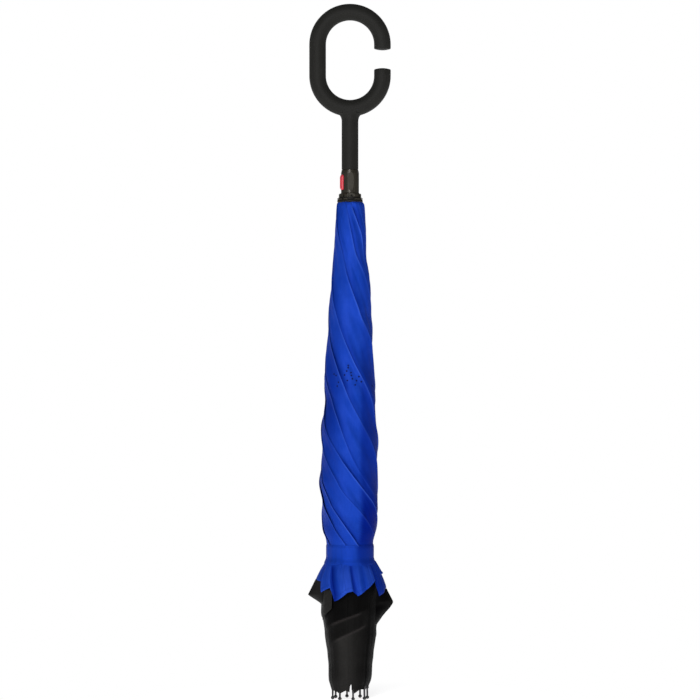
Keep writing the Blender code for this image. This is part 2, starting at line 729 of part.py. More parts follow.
def stem_mesh():
    """The straight stem, which widens into the C along the C's own direction."""
    rings = []
    edge = GRIP_RADIUS * 0.06
    fillet_start = STEM_TOP_Z - FILLET_HEIGHT * 0.6
    levels = [
        (STEM_FOOT_Z, -edge),
        (STEM_FOOT_Z + edge, 0),
        (fillet_start, 0),
        (fillet_start + FILLET_HEIGHT * 0.4, FILLET_REACH * 0.12),
        (fillet_start + FILLET_HEIGHT * 0.7, FILLET_REACH * 0.4),
        (fillet_start + FILLET_HEIGHT, FILLET_REACH),
        (STEM_TOP_Z + GRIP_RADIUS, 0),
    ]
    for z, reach in levels:
        half_y = GRIP_RADIUS + min(reach, 0)
        if z > fillet_start:
            half_y -= GAP
        rings.append([
            ((GRIP_RADIUS + reach) * math.cos(math.tau * k / GRIP_SIDES),
             half_y * math.sin(math.tau * k / GRIP_SIDES), z)
            for k in range(GRIP_SIDES)
        ])
    return skinned_mesh("stem", rings)


# Rolled canopy


def pleat_section(z):
    """Inner radius, outer radius and far side of the folded gores at a height."""
    share = (PLEAT_TOP_Z - z) / (PLEAT_TOP_Z - PLEAT_FOOT_Z)
    middle = between(PLEAT_TOP_RADIUS, PLEAT_FOOT_RADIUS, share)
    side = COLLAR_HALF_WIDTH + PLEAT_SIDE_GAP + between(PLEAT_TOP_WIDTH, PLEAT_FOOT_WIDTH, share)
    return middle - PLEAT_HALF_DEPTH, middle + PLEAT_HALF_DEPTH, side


def roll_inner_radius(z):
    """Inner radius of the roll, which clears the ribs and the folded gores."""
    near, far, side = pleat_section(min(z, PLEAT_TOP_Z))
    clear = math.hypot(far, side) + ROLL_CLEARANCE
    above = (z - PLEAT_TOP_Z) / (ROLL_TOP_Z - PLEAT_TOP_Z)
    return between(clear, ROLL_INNER_TOP_RADIUS, smooth(above))


def roll_radius(z):
    """Mean outer radius of the blue roll above the strap."""
    share = (z - STRAP_TOP_Z) / (ROLL_TOP_Z - STRAP_TOP_Z)
    return roll_inner_radius(z) + ROLL_THICKNESS * along(ROLL_THICKNESS_SHARES, share)


def strap_inner_radius():
    """The strap's inner radius, drawn tight on the roll."""
    return roll_inner_radius(STRAP_Z + STRAP_WIDTH / 2) + STRAP_PADDING


def crease_turn(z):
    """How far the spiral creases have turned round the shaft between the roll's top and a height."""
    steps = ROLL_LEVELS * 2
    turn = 0
    foot = max(z, STRAP_Z)
    for step in range(steps):
        level = between(ROLL_TOP_Z, foot, (step + 0.5) / steps)
        share = (ROLL_TOP_Z - level) / (ROLL_TOP_Z - STRAP_Z)
        lean = between(CREASE_LEAN_TOP, CREASE_LEAN_FOOT, share)
        turn += math.tan(lean) / roll_radius(level) * (ROLL_TOP_Z - foot) / steps
    return turn


def crease_rise(share):
    """A fold's edge across a gore: low where it starts, and rounded over at its free edge."""
    return CREASE_RISE * (share**1.5 - 0.5)


def round_share(turn):
    """A direction round the shaft as a share of a full turn."""
    return (turn / math.tau) % 1


def hem_z(turn):
    """Height of the blue layer's zigzag hem in one direction."""
    return between(HEM_HIGH_Z, HEM_LOW_Z, along(HEM_DROP_SHARES, round_share(turn)))


def skirt_radius(z, turn):
    """Outer radius of the skirt, which spreads in pleats from the strap to its hem."""
    drop = (STRAP_Z - z) / SKIRT_SHORTEST
    crest = max(along(HEM_DROP_SHARES, round_share(turn)), along(WING_REACH_SHARES, round_share(turn)))
    pleat = 1 - PLEAT_DIP_SHARE * (1 - crest)
    return strap_inner_radius() - GAP + SKIRT_REACH * pleat * smooth(drop * 0.85)


def bundle_radius(z):
    """Outer radius of the black bundle below the wings."""
    share = (WING_Z - z) / (WING_Z - BLACK_FOOT_Z)
    return roll_inner_radius(z) + BUNDLE_THICKNESS * along(BUNDLE_THICKNESS_SHARES, max(share, 0))


def wing_radius(z, turn):
    """Outer radius of the black layer where its corners stand out below the hem."""
    fade = (z - WING_END_Z) / (WING_Z - WING_END_Z)
    return bundle_radius(z) + WING_REACH * along(WING_REACH_SHARES, round_share(turn)) * max(fade, 0)


def gore_ring(number, turned, place_z, outer_at, inner_at):
    """One ring of a gore: its outer columns from side to side, and its inner ones back."""
    outer = []
    inner = []
    for column in range(GORE_COLUMNS + 1):
        share = column / GORE_COLUMNS
        turn = rib_turn(number) - GORE_TURN / 2 + turned + GORE_TURN * share
        z = place_z(turn)
        far = outer_at(z, turn, share)
        near = inner_at(z, far)
        side = GORE_SIDE_GAP / 2 * (1 if column == 0 else -1 if column == GORE_COLUMNS else 0)
        outer.append(round_the_shaft(turn + side / far, far, 0, z))
        inner.append(round_the_shaft(turn + side / near, near, 0, z))
    return outer + inner[::-1]


def level(z):
    """A ring's height that is the same all round."""
    return lambda turn: z


def toward_hem(drop):
    """A ring's height a share of the way from the strap down to the zigzag hem."""
    return lambda turn: between(STRAP_Z, hem_z(turn), drop)


def blue_gore_mesh(number):
    """One blue gore, rolled round the shaft from the runner to the strap, then flared to its hem."""
    rings = []
    for step in range(ROLL_LEVELS + 1):
        z = between(ROLL_TOP_Z, STRAP_TOP_Z, step / ROLL_LEVELS)
        fade = smooth((z - STRAP_TOP_Z) / STRAP_WIDTH)

        def rolled(place, turn, share, fade=fade):
            return roll_radius(place) + crease_rise(share) * fade * roll_radius(place) / roll_radius(STRAP_TOP_Z)

        rings.append(gore_ring(number, crease_turn(z), level(z), rolled, lambda place, far: roll_inner_radius(place)))
    turned = crease_turn(STRAP_Z)

    def shell(z, far):
        return far - SKIRT_THICKNESS

    rings.append(gore_ring(number, turned, level(STRAP_Z), lambda z, turn, share: strap_inner_radius() - GAP, shell))
    for drop in SKIRT_DROP_SHARES:
        rings.append(gore_ring(number, turned, toward_hem(drop), lambda z, turn, share: skirt_radius(z, turn), shell))
    return skinned_mesh(f"blue_gore_{number + 1}", rings, strip_caps=True)


def black_gore_mesh(number):
    """One black gore below the strap: under the blue skirt, out to its corner, and in to the bundle."""
    turned = crease_turn(STRAP_Z)
    lining = SKIRT_THICKNESS + LINING_GAP

    def under_skirt(z, turn, share):
        return skirt_radius(z, turn) - lining

    def wing(z, turn, share):
        return wing_radius(z, turn)

    def bundle(z, turn, share):
        return bundle_radius(z) + crease_rise(share) * along(BUNDLE_THICKNESS_SHARES, 1)

    def shell(z, far):
        return max(far - SKIRT_THICKNESS, roll_inner_radius(z))

    rings = [gore_ring(number, turned, toward_hem(drop), under_skirt, shell) for drop in SKIRT_DROP_SHARES]
    for z in (WING_Z, between(WING_Z, WING_END_Z, 0.5), WING_END_Z):
        rings.append(gore_ring(number, turned, level(z), wing, shell))
    for down in (0.35, 0.7, 1):
        z = between(WING_END_Z, BLACK_FOOT_Z, down)
        rings.append(gore_ring(number, turned, level(z), bundle, lambda place, far: roll_inner_radius(place)))
    return skinned_mesh(f"black_gore_{number + 1}", rings, strip_caps=True)


def make_strap(finish, parent):
    """The tie strap, wrapped once round the roll."""
    inner = strap_inner_radius()
    outer = inner + STRAP_THICKNESS
    edge = STRAP_THICKNESS * 0.25
    outline = (
        (inner, STRAP_Z + GAP),
        (outer - edge, STRAP_Z + GAP),
        (outer, STRAP_Z + GAP + edge),
        (outer, STRAP_TOP_Z - GAP - edge),
        (outer - edge, STRAP_TOP_Z - GAP),
        (inner, STRAP_TOP_Z - GAP),
    )
    add_object("strap", turned_mesh("strap", outline, STRAP_STEPS), finish, parent)


def make_strap_tab(finish, parent):
    """The strap's fastened end, lying over the strap at the back."""
    inner = strap_inner_radius() + STRAP_THICKNESS + GAP
    outer = inner + STRAP_THICKNESS
    low = STRAP_Z + STRAP_OVERLAP_INSET
    high = STRAP_TOP_Z - STRAP_OVERLAP_INSET
    rings = []
    for step in range(GORE_COLUMNS + 1):
        turn = math.pi / 2 + STRAP_OVERLAP_TURN * (step / GORE_COLUMNS - 0.5)
        rings.append([
            round_the_shaft(turn, inner, 0, low),
            round_the_shaft(turn, outer, 0, low),
            round_the_shaft(turn, outer, 0, high),
            round_the_shaft(turn, inner, 0, high),
        ])
    add_object("strap_tab", skinned_mesh("strap_tab", rings), finish, parent)


def pleat_mesh(number):
    """The stretch of both layers that lies folded flat beside a rib, as one packed fold."""
    turn = rib_turn(number)
    start = COLLAR_HALF_WIDTH + PLEAT_SIDE_GAP
    rings = []
    for z in (PLEAT_TOP_Z, PLEAT_FOOT_Z):
        near, far, side = pleat_section(z)
        rings.append([
            round_the_shaft(turn, near, start, z),
            round_the_shaft(turn, far, start, z),
            round_the_shaft(turn, far, side, z),
            round_the_shaft(turn, near, side, z),
        ])
    return skinned_mesh(f"pleat_{number + 1}", rings)


def cover_mesh(number):
    """The black layer's inner stretch, which lies folded along its strut."""
    turn = rib_turn(number)
    rings = []
    for at in (COVER_START_AT, COVER_END_AT):
        middle = STRUT_PIVOT_RADIUS + at * math.sin(STRUT_LEAN)
        z = CROWN_PIVOT_Z + at * math.cos(STRUT_LEAN)
        side = -STRUT_SIDE_STEP * at / STRUT_LENGTH - STRUT_HALF_WIDTH - PLEAT_SIDE_GAP
        near = middle - COVER_HALF_DEPTH
        far = middle + COVER_HALF_DEPTH
        rings.append([
            round_the_shaft(turn, near, side - COVER_WIDTH, z),
            round_the_shaft(turn, far, side - COVER_WIDTH, z),
            round_the_shaft(turn, far, side, z),
            round_the_shaft(turn, near, side, z),
        ])
    return skinned_mesh(f"cover_fold_{number + 1}", rings)


# Joint axes of the folded cloth


def gore_axis_place(number):
    """A point on the line that becomes the shaft's axis once the rib has swung open."""
    turn = rib_turn(number)
    out = RIB_PIVOT_RADIUS - RIB_PIVOT_RADIUS * math.cos(RIB_SWING)
    up = RUNNER_PIVOT_Z + RIB_PIVOT_RADIUS * math.sin(RIB_SWING)
    return round_the_shaft(turn, out, 0, up)


def cover_axis_place(number):
    """The same for the cover's fold, which turns on its strut."""
    turn = rib_turn(number)
    out = STRUT_PIVOT_RADIUS - STRUT_PIVOT_RADIUS * math.cos(STRUT_SWING)
    up = CROWN_PIVOT_Z - STRUT_PIVOT_RADIUS * math.sin(STRUT_SWING)
    return round_the_shaft(turn, out, 0, up)


def make_sector(number, finishes, shared, runner_axis):
    """One eighth of the umbrella: its rib, strut, gores and folds, each on its own axis."""
    name = number + 1
    turn = rib_turn(number)
    rib_place = round_the_shaft(turn, RIB_PIVOT_RADIUS, 0, RUNNER_PIVOT_Z)
    rib_axis = add_axis(f"rib_axis_{name}", rib_place, runner_axis)
    rib = add_object(f"rib_{name}", shared["rib"], finishes["rib"])
    rib.location = rib_place
    rib.rotation_euler = (0, -RIB_LEAN, turn)
    rib.parent = rib_axis
    rib.matrix_parent_inverse = rib_axis.matrix_world.inverted()
    add_object(f"blue_gore_{name}", blue_gore_mesh(number), finishes["blue"], rib_axis)
    add_object(f"black_gore_{name}", black_gore_mesh(number), finishes["black"], rib_axis)
    gore_axis = add_axis(f"gore_axis_{name}", gore_axis_place(number), rib_axis)
    add_object(f"gore_fold_{name}", pleat_mesh(number), finishes["blue"], gore_axis)

    strut_place = round_the_shaft(turn, STRUT_PIVOT_RADIUS, 0, CROWN_PIVOT_Z)
    strut_axis = add_axis(f"strut_axis_{name}", strut_place)
    strut = add_object(f"strut_{name}", shared["strut"], finishes["strut"])
    strut.location = strut_place
    strut.rotation_euler = (STRUT_SKEW, STRUT_LEAN, turn)
    strut.parent = strut_axis
    strut.matrix_parent_inverse = strut_axis.matrix_world.inverted()
    cover_axis = add_axis(f"cover_axis_{name}", cover_axis_place(number), strut_axis)
    add_object(f"cover_fold_{name}", cover_mesh(number), finishes["black"], cover_axis)
    return rib_axis


def build():
    """Models the whole umbrella."""
    clear_scene()
    finishes = {
        "grip": material("soft_grip", (0.030, 0.029, 0.028), 0.55),
        "gloss": material("gloss_black", (0.012, 0.011, 0.010), 0.16),
        "red": material("button_red", (0.62, 0.07, 0.09), 0.35),
        "blue": material("blue_cloth", (0.014, 0.052, 0.46), 0.62),
        "black": material("black_cloth", (0.012, 0.011, 0.010), 0.75),
        "steel": material("shaft_steel", (0.42, 0.42, 0.43), 0.28, 1.0),
        "rib": material("rib_metal", (0.16, 0.16, 0.165), 0.38, 0.8),
        "strut": material("strut_metal", (0.18, 0.18, 0.185), 0.35, 0.9),
        "wire": material("wire_steel", (0.5, 0.5, 0.5), 0.3, 1.0),
    }
    runner_axis = add_axis("runner_axis", (0, 0, RUNNER_PIVOT_Z))
    make_handle(finishes["grip"])
    make_shaft(finishes["steel"])
    make_crown(finishes["gloss"])
    make_crown_cap(finishes["gloss"])
    make_wire("crown_wire", STRUT_PIVOT_RADIUS, CROWN_PIVOT_Z, finishes["wire"])
    make_runner(finishes["gloss"], runner_axis)
    make_wire("runner_wire", RIB_PIVOT_RADIUS, RUNNER_PIVOT_Z, finishes["wire"], runner_axis)
    make_button(finishes["red"], runner_axis)
    shared = {"rib": rib_mesh(finishes["rib"]), "strut": strut_mesh(finishes["strut"])}
    rib_axes = [make_sector(number, finishes, shared, runner_axis) for number in range(GORES)]
    make_strap(finishes["blue"], rib_axes[2])
    make_strap_tab(finishes["blue"], rib_axes[2])
    print(f"runner travel {RUNNER_TRAVEL:.6f} m, rib swing {math.degrees(RIB_SWING):.4f} degrees,"
          f" strut swing {math.degrees(STRUT_SWING):.4f} degrees, strut {STRUT_LENGTH:.6f} m,"
          f" runner pivot {RUNNER_PIVOT_Z:.6f} m")


build()
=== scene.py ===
"""Looks of a reverse-folding stick umbrella, closed and tied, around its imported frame.

Metres, +Z up, the shaft's axis is the Z axis, and the camera looks along +Y.
"""

import json
import math

import bmesh
import bpy
from mathutils import Matrix, Vector, noise


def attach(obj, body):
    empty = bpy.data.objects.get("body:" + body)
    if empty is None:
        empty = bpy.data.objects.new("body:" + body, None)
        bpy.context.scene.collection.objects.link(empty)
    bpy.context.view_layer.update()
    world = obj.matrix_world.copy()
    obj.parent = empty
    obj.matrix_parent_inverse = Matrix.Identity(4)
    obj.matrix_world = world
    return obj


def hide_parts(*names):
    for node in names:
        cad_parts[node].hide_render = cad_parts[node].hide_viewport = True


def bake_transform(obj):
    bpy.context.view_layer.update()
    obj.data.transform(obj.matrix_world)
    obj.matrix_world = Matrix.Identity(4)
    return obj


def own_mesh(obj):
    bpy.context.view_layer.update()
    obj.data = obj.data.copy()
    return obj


# Photograph's frame
CAMERA_WIDTH = 0.8056
CAMERA_CENTRE_Z = 0.4017
CAMERA_LENS_MM = 200
SENSOR_MM = 36

# Studio
FLOOR_REACH = 6
FLOOR_DROP = 0.0002
FLOOR_SHADOW_REACH = 0.10
FLOOR_FADE = 0.14
FLOOR_GLOW = 0.8
KEY_PLACE = (-0.38, -2.45, 1.15)
KEY_WIDTH = 0.75
KEY_HEIGHT = 1.1
KEY_POWER = 37
FILL_PLACE = (1.9, -1.5, 0.4)
FILL_WIDTH = 1.4
FILL_HEIGHT = 1.6
FILL_POWER = 1
BACK_PLACE = (-0.9, 2.1, 1.2)
BACK_POWER = 3
AMBIENT = 0.11

# Gores, and the ribs' directions round the shaft
GORES = 8
FIRST_RIB_TURN = math.radians(10)
GORE_TURN = math.tau / GORES

# Blue roll
ROLL_TOP_Z = 0.5727
ROLL_FOOT_Z = 0.178
STRAP_Z = 0.155
SPIRAL_TURN = math.radians(413.4)
ROLL_RADIUS = 0.0334
ROLL_TOP_NECK = 0.0004
ROLL_ROWS = 132
ROLL_COLUMNS = 20
TUCK_LENGTH = 0.005
TUCK_WIDTH_SHARE = 0.3
TUCK_GAP = 0.0011
RETURN_LENGTH = 0.0045
RETURN_GAP = 0.0005
FOLD_DEPTH = 0.0021
FOLD_LIP = 0.0006
FOLD_LIP_REACH = 0.0022
FOLD_RISE_REACH = 0.0065
FOLD_CURL = 0.0004
FOLD_FLATNESS = 0.6
FOLD_CREST_SHARE = 0.6
FOLD_SHADE_REACH = 0.0125
FOLD_SHADE = 0.6
FOLD_LEAST = 0.12
STRAP_EASE = 0.035
TOP_EASE = 0.012
ROLL_CLOSING = 0.004
RUNNER_SEAT_RADIUS = 0.0136
LEE_EDGE = 0.036
LEE_WIDTH = 0.17
FLANK_TURN_SHARE = 0.6
FLANK_WIDTH = 0.14
CLOTH_THICKNESS = 0.00022
SLACK_REACH = 0.011
SLACK_RUN = 0.075
SLACK_DEPTH = 0.0011
WRINKLE_REACH = 0.0045
WRINKLE_RUN = 0.032
WRINKLE_DEPTH = 0.0003

# Tie strap
STRAP_INNER = 0.0269
STRAP_TOP_Z = 0.178
STRAP_THICKNESS = 0.0006
STRAP_EDGE_ROUND = 0.0002
STRAP_STITCH_INSET = 0.0019
STRAP_STITCH_WIDTH = 0.0004
STRAP_WAVE = 0.0007
STRAP_FLARE = 0.0026
STRAP_STEPS = 144
STRAP_LEVELS = 12
STRAP_GORE = 2

# Binding of the blue cloth's top
BINDING_FOOT_Z = 0.5668
BINDING_TOP_Z = 0.5773
BINDING_RADIUS = 0.0147
BINDING_LEVELS = 16

# Blue skirt
SKIRT_TOP_Z = 0.1615
SKIRT_DEPTH = 0.0375
SKIRT_INNER = 0.0262
SKIRT_FLARE = 0.0163
SKIRT_PUCKER = 0.0006
HEM_HIGH_Z = 0.140
HEM_LOW_Z = 0.114
SKIRT_ROWS = 26
SKIRT_STEP_TURN = math.radians(1.2)
COLUMN_LEAST_SHARE = 0.0005

# Black layer
LINING_TOP_Z = 0.152
LINING_GAP = 0.0020
BUNDLE_RADIUS = 0.0332
BUNDLE_TOP_Z = 0.140
BUNDLE_FOOT_Z = 0.0068
BUNDLE_HEM_RISE = 0.0045
CORNER_REACH = 0.050
SLIT_HEIGHT = 0.0105
SLIT_TURN_SHARE = 0.7575
SLIT_SHARPNESS = 95
BUNDLE_ROWS = 90
BUNDLE_COLUMNS = 56
DRAPE_DEPTH = 0.0013
DRAPE_WIDTH = 0.0020
DRAPE_LEAD = 0.1
DRAPE_BARE = 0.12
PLEAT_DEPTH = 0.0006
BUNDLE_HEM_TILT = 0.009
FLAP_LIFT = 0.0011
FLAP_STEPS = 18
FLAP_GORE = 3

# Vent holes
HOLE_RADIUS = 0.0010
HOLE_SIDES = 12
HOLE_LIFT = 0.00012
HOLE_THICKNESS = 0.0001

# Open canopy
BLUE_CARDS = 32
BLACK_CARDS = 48
COVER_CARDS = 24
BLUE_OFFSET = 0.0022
BLACK_OFFSET = -0.0026
COVER_OFFSET = -0.0022
STACK_DEPTH = 0.0015
BLUE_START = 0.005
BLUE_HEM = 0.452
BLACK_START = 0.203
BLACK_HEM = 0.563
COVER_START = 0.004
COVER_END = 0.2275
BLUE_HEM_DIP = 0.038
BLACK_HEM_DIP = 0.052
CARD_OVERLAP = 0.0003
CARD_LEAST_REACH = 0.02
FAN_LEVEL_SHARES = (0, 0.1, 0.3, 0.6, 0.85, 1)
RIB_LEAN = math.radians(0.9732)
STRUT_LEAN = math.radians(1.2512)

# Handle: a C of round tube on a straight stem
GRIP_RADIUS = 0.0096
GRIP_BEND_RADIUS = 0.0373
GRIP_LOW_CENTRE_Z = 0.7172
GRIP_HIGH_CENTRE_Z = 0.7532
GRIP_UPPER_END = 0.0066
GRIP_LOWER_END = 0.0089
GRIP_DOME = 0.0026
GRIP_EDGE_SHARE = 0.93
GRIP_SIDES = 48
GRIP_DOME_STEPS = 8
SHARP_TURN = math.radians(40)
GRIP_BEND_STEPS = 44
STEM_FOOT_Z = 0.6092
STEM_TOP_Z = 0.6703
STEM_EDGE_SHARE = 0.06
STEM_FLATNESS_SHARE = 0.985
FILLET_REACH = 0.0065
FILLET_HEIGHT = 0.009
FILLET_STEPS = 12
BORE_RADIUS = 0.0063
BORE_DEPTH = 0.045

# Sizes of what the surfaces show, and how far their bumps reach
WEAVE_PITCH = 0.00042
STITCH_PITCH = 0.0026
MOTTLE_SIZE = 0.014
SLUB_SIZE = 0.0016
CRUMPLE_SIZE = 0.0095
STRAP_MOTTLE_SIZE = 0.012
STRAP_GATHER_SIZE = 0.006
RUBBER_GRAIN_SIZE = 0.00035
RUBBED_PATCH_SIZE = 0.018
FLOW_MARK_SIZE = 0.006
SPECK_SIZE = 0.0007
RED_GRAIN_SIZE = 0.0008
STREAK_SIZE = 0.0012
DULL_PATCH_SIZE = 0.014
HOLE_GRAIN_SIZE = 0.0006
CLOTH_BUMP = 0.0004
RUBBER_BUMP = 0.0001
FLOW_BUMP = 0.0003
FINE_BUMP = 0.0002

# How the spiral turns: share of the way down from the roll's top to the strap's foot, share of the whole turn
SPIRAL_SHARES = (
    (0, 0), (0.083, 0.0749), (0.167, 0.1486), (0.25, 0.2244), (0.333, 0.3009), (0.417, 0.3785),
    (0.5, 0.4575), (0.583, 0.5368), (0.667, 0.615), (0.75, 0.6954), (0.833, 0.7813), (0.917, 0.8793),
    (1, 1),
)

# Outline of the roll: share of its height above the strap, then radius and lean to the left, in shares of its
# largest radius
ROLL_SHARES = (
    (0, 0.8, 0.012), (0.012, 0.815, 0.01), (0.036, 0.89, 0.006), (0.07, 0.915, -0.008), (0.11, 0.97, 0.006),
    (0.14, 0.963, 0.01), (0.18, 0.968, 0.058), (0.21, 0.953, 0.048), (0.25, 0.955, 0.014), (0.28, 0.957, 0),
    (0.315, 0.954, 0.024), (0.35, 0.923, 0.05), (0.385, 0.886, 0.012), (0.42, 0.87, -0.04),
    (0.455, 0.872, -0.01), (0.49, 0.845, 0.04), (0.525, 0.802, 0.04), (0.56, 0.783, 0.026),
    (0.595, 0.79, -0.012), (0.63, 0.76, 0), (0.665, 0.716, 0.022), (0.7, 0.71, 0.01),
    (0.735, 0.686, -0.014), (0.78, 0.64, -0.032), (0.805, 0.6, -0.022), (0.84, 0.556, 0.003),
    (0.875, 0.552, 0.003), (0.91, 0.55, -0.014), (0.945, 0.51, -0.009), (0.98, 0.468, -0.018),
    (1, 0.452, -0.026),
)

# Each fold of the roll: share of the way down, its edge's place in gores round the shaft, how strong it is
FOLD_SHARES = (
    ((0, 0.05, 0.35), (0.3, 0, 0.5), (0.55, -0.2, 0.3), (0.632, -0.29, 0.15), (0.686, -0.18, 0.35),
     (0.729, -0.09, 0.75), (0.792, 0.12, 1), (0.861, 0.46, 0.9), (0.93, 0.54, 0.5), (1, 0.58, 0.4)),
    ((0, 0.72, 0.35), (0.3, 0.68, 0.5), (0.549, 0.62, 0.55), (0.598, 0.61, 0.65), (0.668, 0.46, 0.4),
     (0.729, 0.41, 0.3), (0.771, 0.52, 0.3), (0.861, 0.92, 0.3), (1, 1.12, 0.4)),
    ((0, 1.73, 0.45), (0.369, 1.7, 0.35), (0.426, 1.76, 0.65), (0.5, 1.72, 0.85), (0.55, 1.65, 0.5),
     (0.68, 1.74, 0.35), (0.8, 1.74, 0.4), (1, 1.86, 0.4)),
    ((0, 2.83, 0.6), (0.2, 2.8, 0.5), (0.25, 2.85, 0.6), (0.334, 2.82, 0.5), (0.439, 2.79, 0.9),
     (0.49, 2.85, 0.8), (0.6, 2.85, 0.45), (1, 2.86, 0.5)),
    ((0, 4.5, 0.2), (0.13, 4.54, 0.22), (0.165, 4.48, 0.15), (0.2, 4.41, 0.45), (0.29, 4.34, 0.9),
     (0.325, 4.32, 0.8), (0.36, 4.38, 0.45), (0.5, 4.44, 0.35), (0.75, 4.45, 0.5), (1, 4.5, 0.4)),
    ((0, 5.8, 0.12), (0.03, 5.8, 0.15), (0.06, 5.72, 0.4), (0.109, 5.6, 0.6), (0.145, 5.56, 0.7),
     (0.17, 5.62, 0.8), (0.2, 5.7, 0.4), (0.5, 5.7, 0.5), (0.8, 5.62, 0.4), (1, 5.6, 0.4)),
    ((0, 6.32, 0.6), (0.03, 6.37, 1), (0.097, 6.5, 1), (0.171, 6.32, 0.45), (0.4, 6.2, 0.5),
     (0.6, 6.18, 0.6), (0.836, 6.18, 0.65), (0.889, 6.24, 0.9), (0.94, 6.29, 1), (1, 6.32, 0.9)),
    ((0, 7.1, 0.4), (0.3, 7.12, 0.5), (0.6, 7, 0.4), (0.682, 6.95, 0.35), (0.757, 7.12, 0.4),
     (0.8, 7.13, 0.3), (0.842, 7.32, 0.25), (0.922, 7.72, 0.35), (1, 7.88, 0.3)),
)

# Small dark holes in the roll: turn from the front and height, in shares of a turn and of the roll's height
HOLE_SHARES = (
    (-0.012, 0.5219), (-0.012, 0.5154), (-0.0212, 0.5058), (0.0066, 0.5011), (-0.035, 0.4942),
    (-0.113, 0.4968), (-0.0938, 0.493), (0.0157, 0.4834), (-0.0169, 0.4784), (0.0447, 0.4778),
    (0.0596, 0.4895), (0.0754, 0.4749), (-0.0753, 0.4729), (-0.0873, 0.4621), (0.0331, 0.4656),
    (0.1788, 0.4627), (0.0092, 0.493),
)

# The binding over the runner's notch: height and radius as shares
BINDING_SHARES = (
    (0, 0.88), (0.4, 0.92), (0.56, 0.99), (0.68, 0.97), (0.8, 0.905), (1, 0.885),
)

# The blue skirt: turn at the hem and at the strap, way from the highest to the lowest hem, and flare
SKIRT_SHARES = (
    (0, 0, 0.46, 0.98), (0.04, 0.005, 0.2, 0.96), (0.052, 0.017, 0.26, 0.8), (0.07, 0.035, 0.9, 0.86),
    (0.13, 0.095, 0.62, 1), (0.17, 0.135, 0.3, 0.97), (0.182, 0.147, 0.34, 0.8), (0.2, 0.165, 0.96, 0.86),
    (0.262, 0.227, 0.6, 1), (0.305, 0.27, 0.22, 0.97), (0.317, 0.282, 0.28, 0.82), (0.335, 0.3, 0.92, 0.88),
    (0.4, 0.362, 0.5, 1), (0.448, 0.412, 0.16, 0.98), (0.456, 0.42, 0.2, 0.86), (0.5, 0.47, 0.04, 1.04),
    (0.56, 0.522, 0.1, 1.02), (0.597, 0.552, 0.14, 0.9), (0.607, 0.56, 0.6, 1), (0.64, 0.592, 0.46, 0.98),
    (0.665, 0.612, 0.38, 1.02), (0.673, 0.621, 0.98, 0.78), (0.694, 0.645, 0.92, 0.89),
    (0.715, 0.665, 0.78, 1), (0.74, 0.7, 0.58, 1.03), (0.764, 0.738, 0.52, 1), (0.772, 0.748, 0.6, 0.8),
    (0.786, 0.762, 0.74, 0.93), (0.802, 0.788, 0.64, 0.99), (0.822, 0.817, 0.5, 0.91),
    (0.84, 0.84, 0.37, 1), (0.884, 0.886, 0.07, 1), (0.892, 0.894, 0.34, 0.82), (0.905, 0.905, 0.77, 0.86),
    (0.94, 0.938, 0.66, 0.94), (0.972, 0.968, 0.43, 1), (1, 1, 0.46, 0.98),
)

# The black bundle: height in shares of its top's, then radius and lean to the right in shares of its largest
# radius
BUNDLE_SHARES = (
    (0.06, 0.618, -0.014), (0.09, 0.659, -0.015), (0.124, 0.701, -0.014), (0.157, 0.748, -0.006),
    (0.2, 0.768, 0.004), (0.29, 0.777, 0.014), (0.35, 0.806, 0.02), (0.4, 0.821, 0.021),
    (0.453, 0.858, 0.021), (0.52, 0.896, 0.019), (0.58, 0.913, 0.016), (0.65, 0.955, 0.01),
    (0.72, 0.993, 0.003), (0.8, 1, 0), (1, 1.02, 0),
)

# Corners of the black layer that stand out: turn and half width in shares of a turn, then rows of height and
# reach from the shaft, in shares of the bundle's height and of the farthest corner's reach
CORNER_SHARES = (
    (0.5, 0.062, ((0.76, 0.6), (0.781, 0.654), (0.814, 0.788), (0.847, 0.93), (0.857, 0.974), (0.88, 0.94),
                  (0.946, 0.85), (1, 0.775), (1.09, 0.6))),
    (0.997, 0.068, ((0.57, 0.56), (0.616, 0.632), (0.649, 0.698), (0.683, 0.764), (0.716, 0.842),
                    (0.749, 0.928), (0.781, 0.99), (0.8, 1.008), (0.814, 0.99), (0.88, 0.888),
                    (0.936, 0.812), (1.09, 0.6))),
    (0.262, 0.06, ((0.6, 0.56), (0.68, 0.7), (0.74, 0.8), (0.79, 0.85), (0.86, 0.82), (1.09, 0.6))),
    (0.12, 0.05, ((0.7, 0.6), (0.76, 0.72), (0.83, 0.79), (0.9, 0.78), (1.09, 0.6))),
    (0.385, 0.05, ((0.66, 0.58), (0.73, 0.7), (0.8, 0.76), (0.88, 0.77), (1.09, 0.6))),
)

# A corner of the blue skirt that stands out, in the same shares
TUFT_SHARES = (
    (0.985, 0.04, ((1.005, 0.6), (1.015, 0.655), (1.03, 0.735), (1.038, 0.778), (1.052, 0.735),
                   (1.14, 0.59))),
)

# Folds that lie slantwise on the bundle: turn and height of each end, in shares of a turn and of the bundle's
# height, how far the painted shade of the deeper cloth over them runs on, in shares of their length, and how dark
# that painted shade is
DRAPE_SHARES = (
    ((0.585, 0.592), (0.806, 0.712), 2.1, 0.88), ((0.6, 0.452), (0.84, 0.606), 1.9, 0.68),
    ((0.04, 0.52), (0.23, 0.66), 1.1, 0.7), ((0.16, 0.43), (0.36, 0.57), 1.1, 0.6),
    ((0.34, 0.56), (0.5, 0.69), 1.1, 0.6),
)
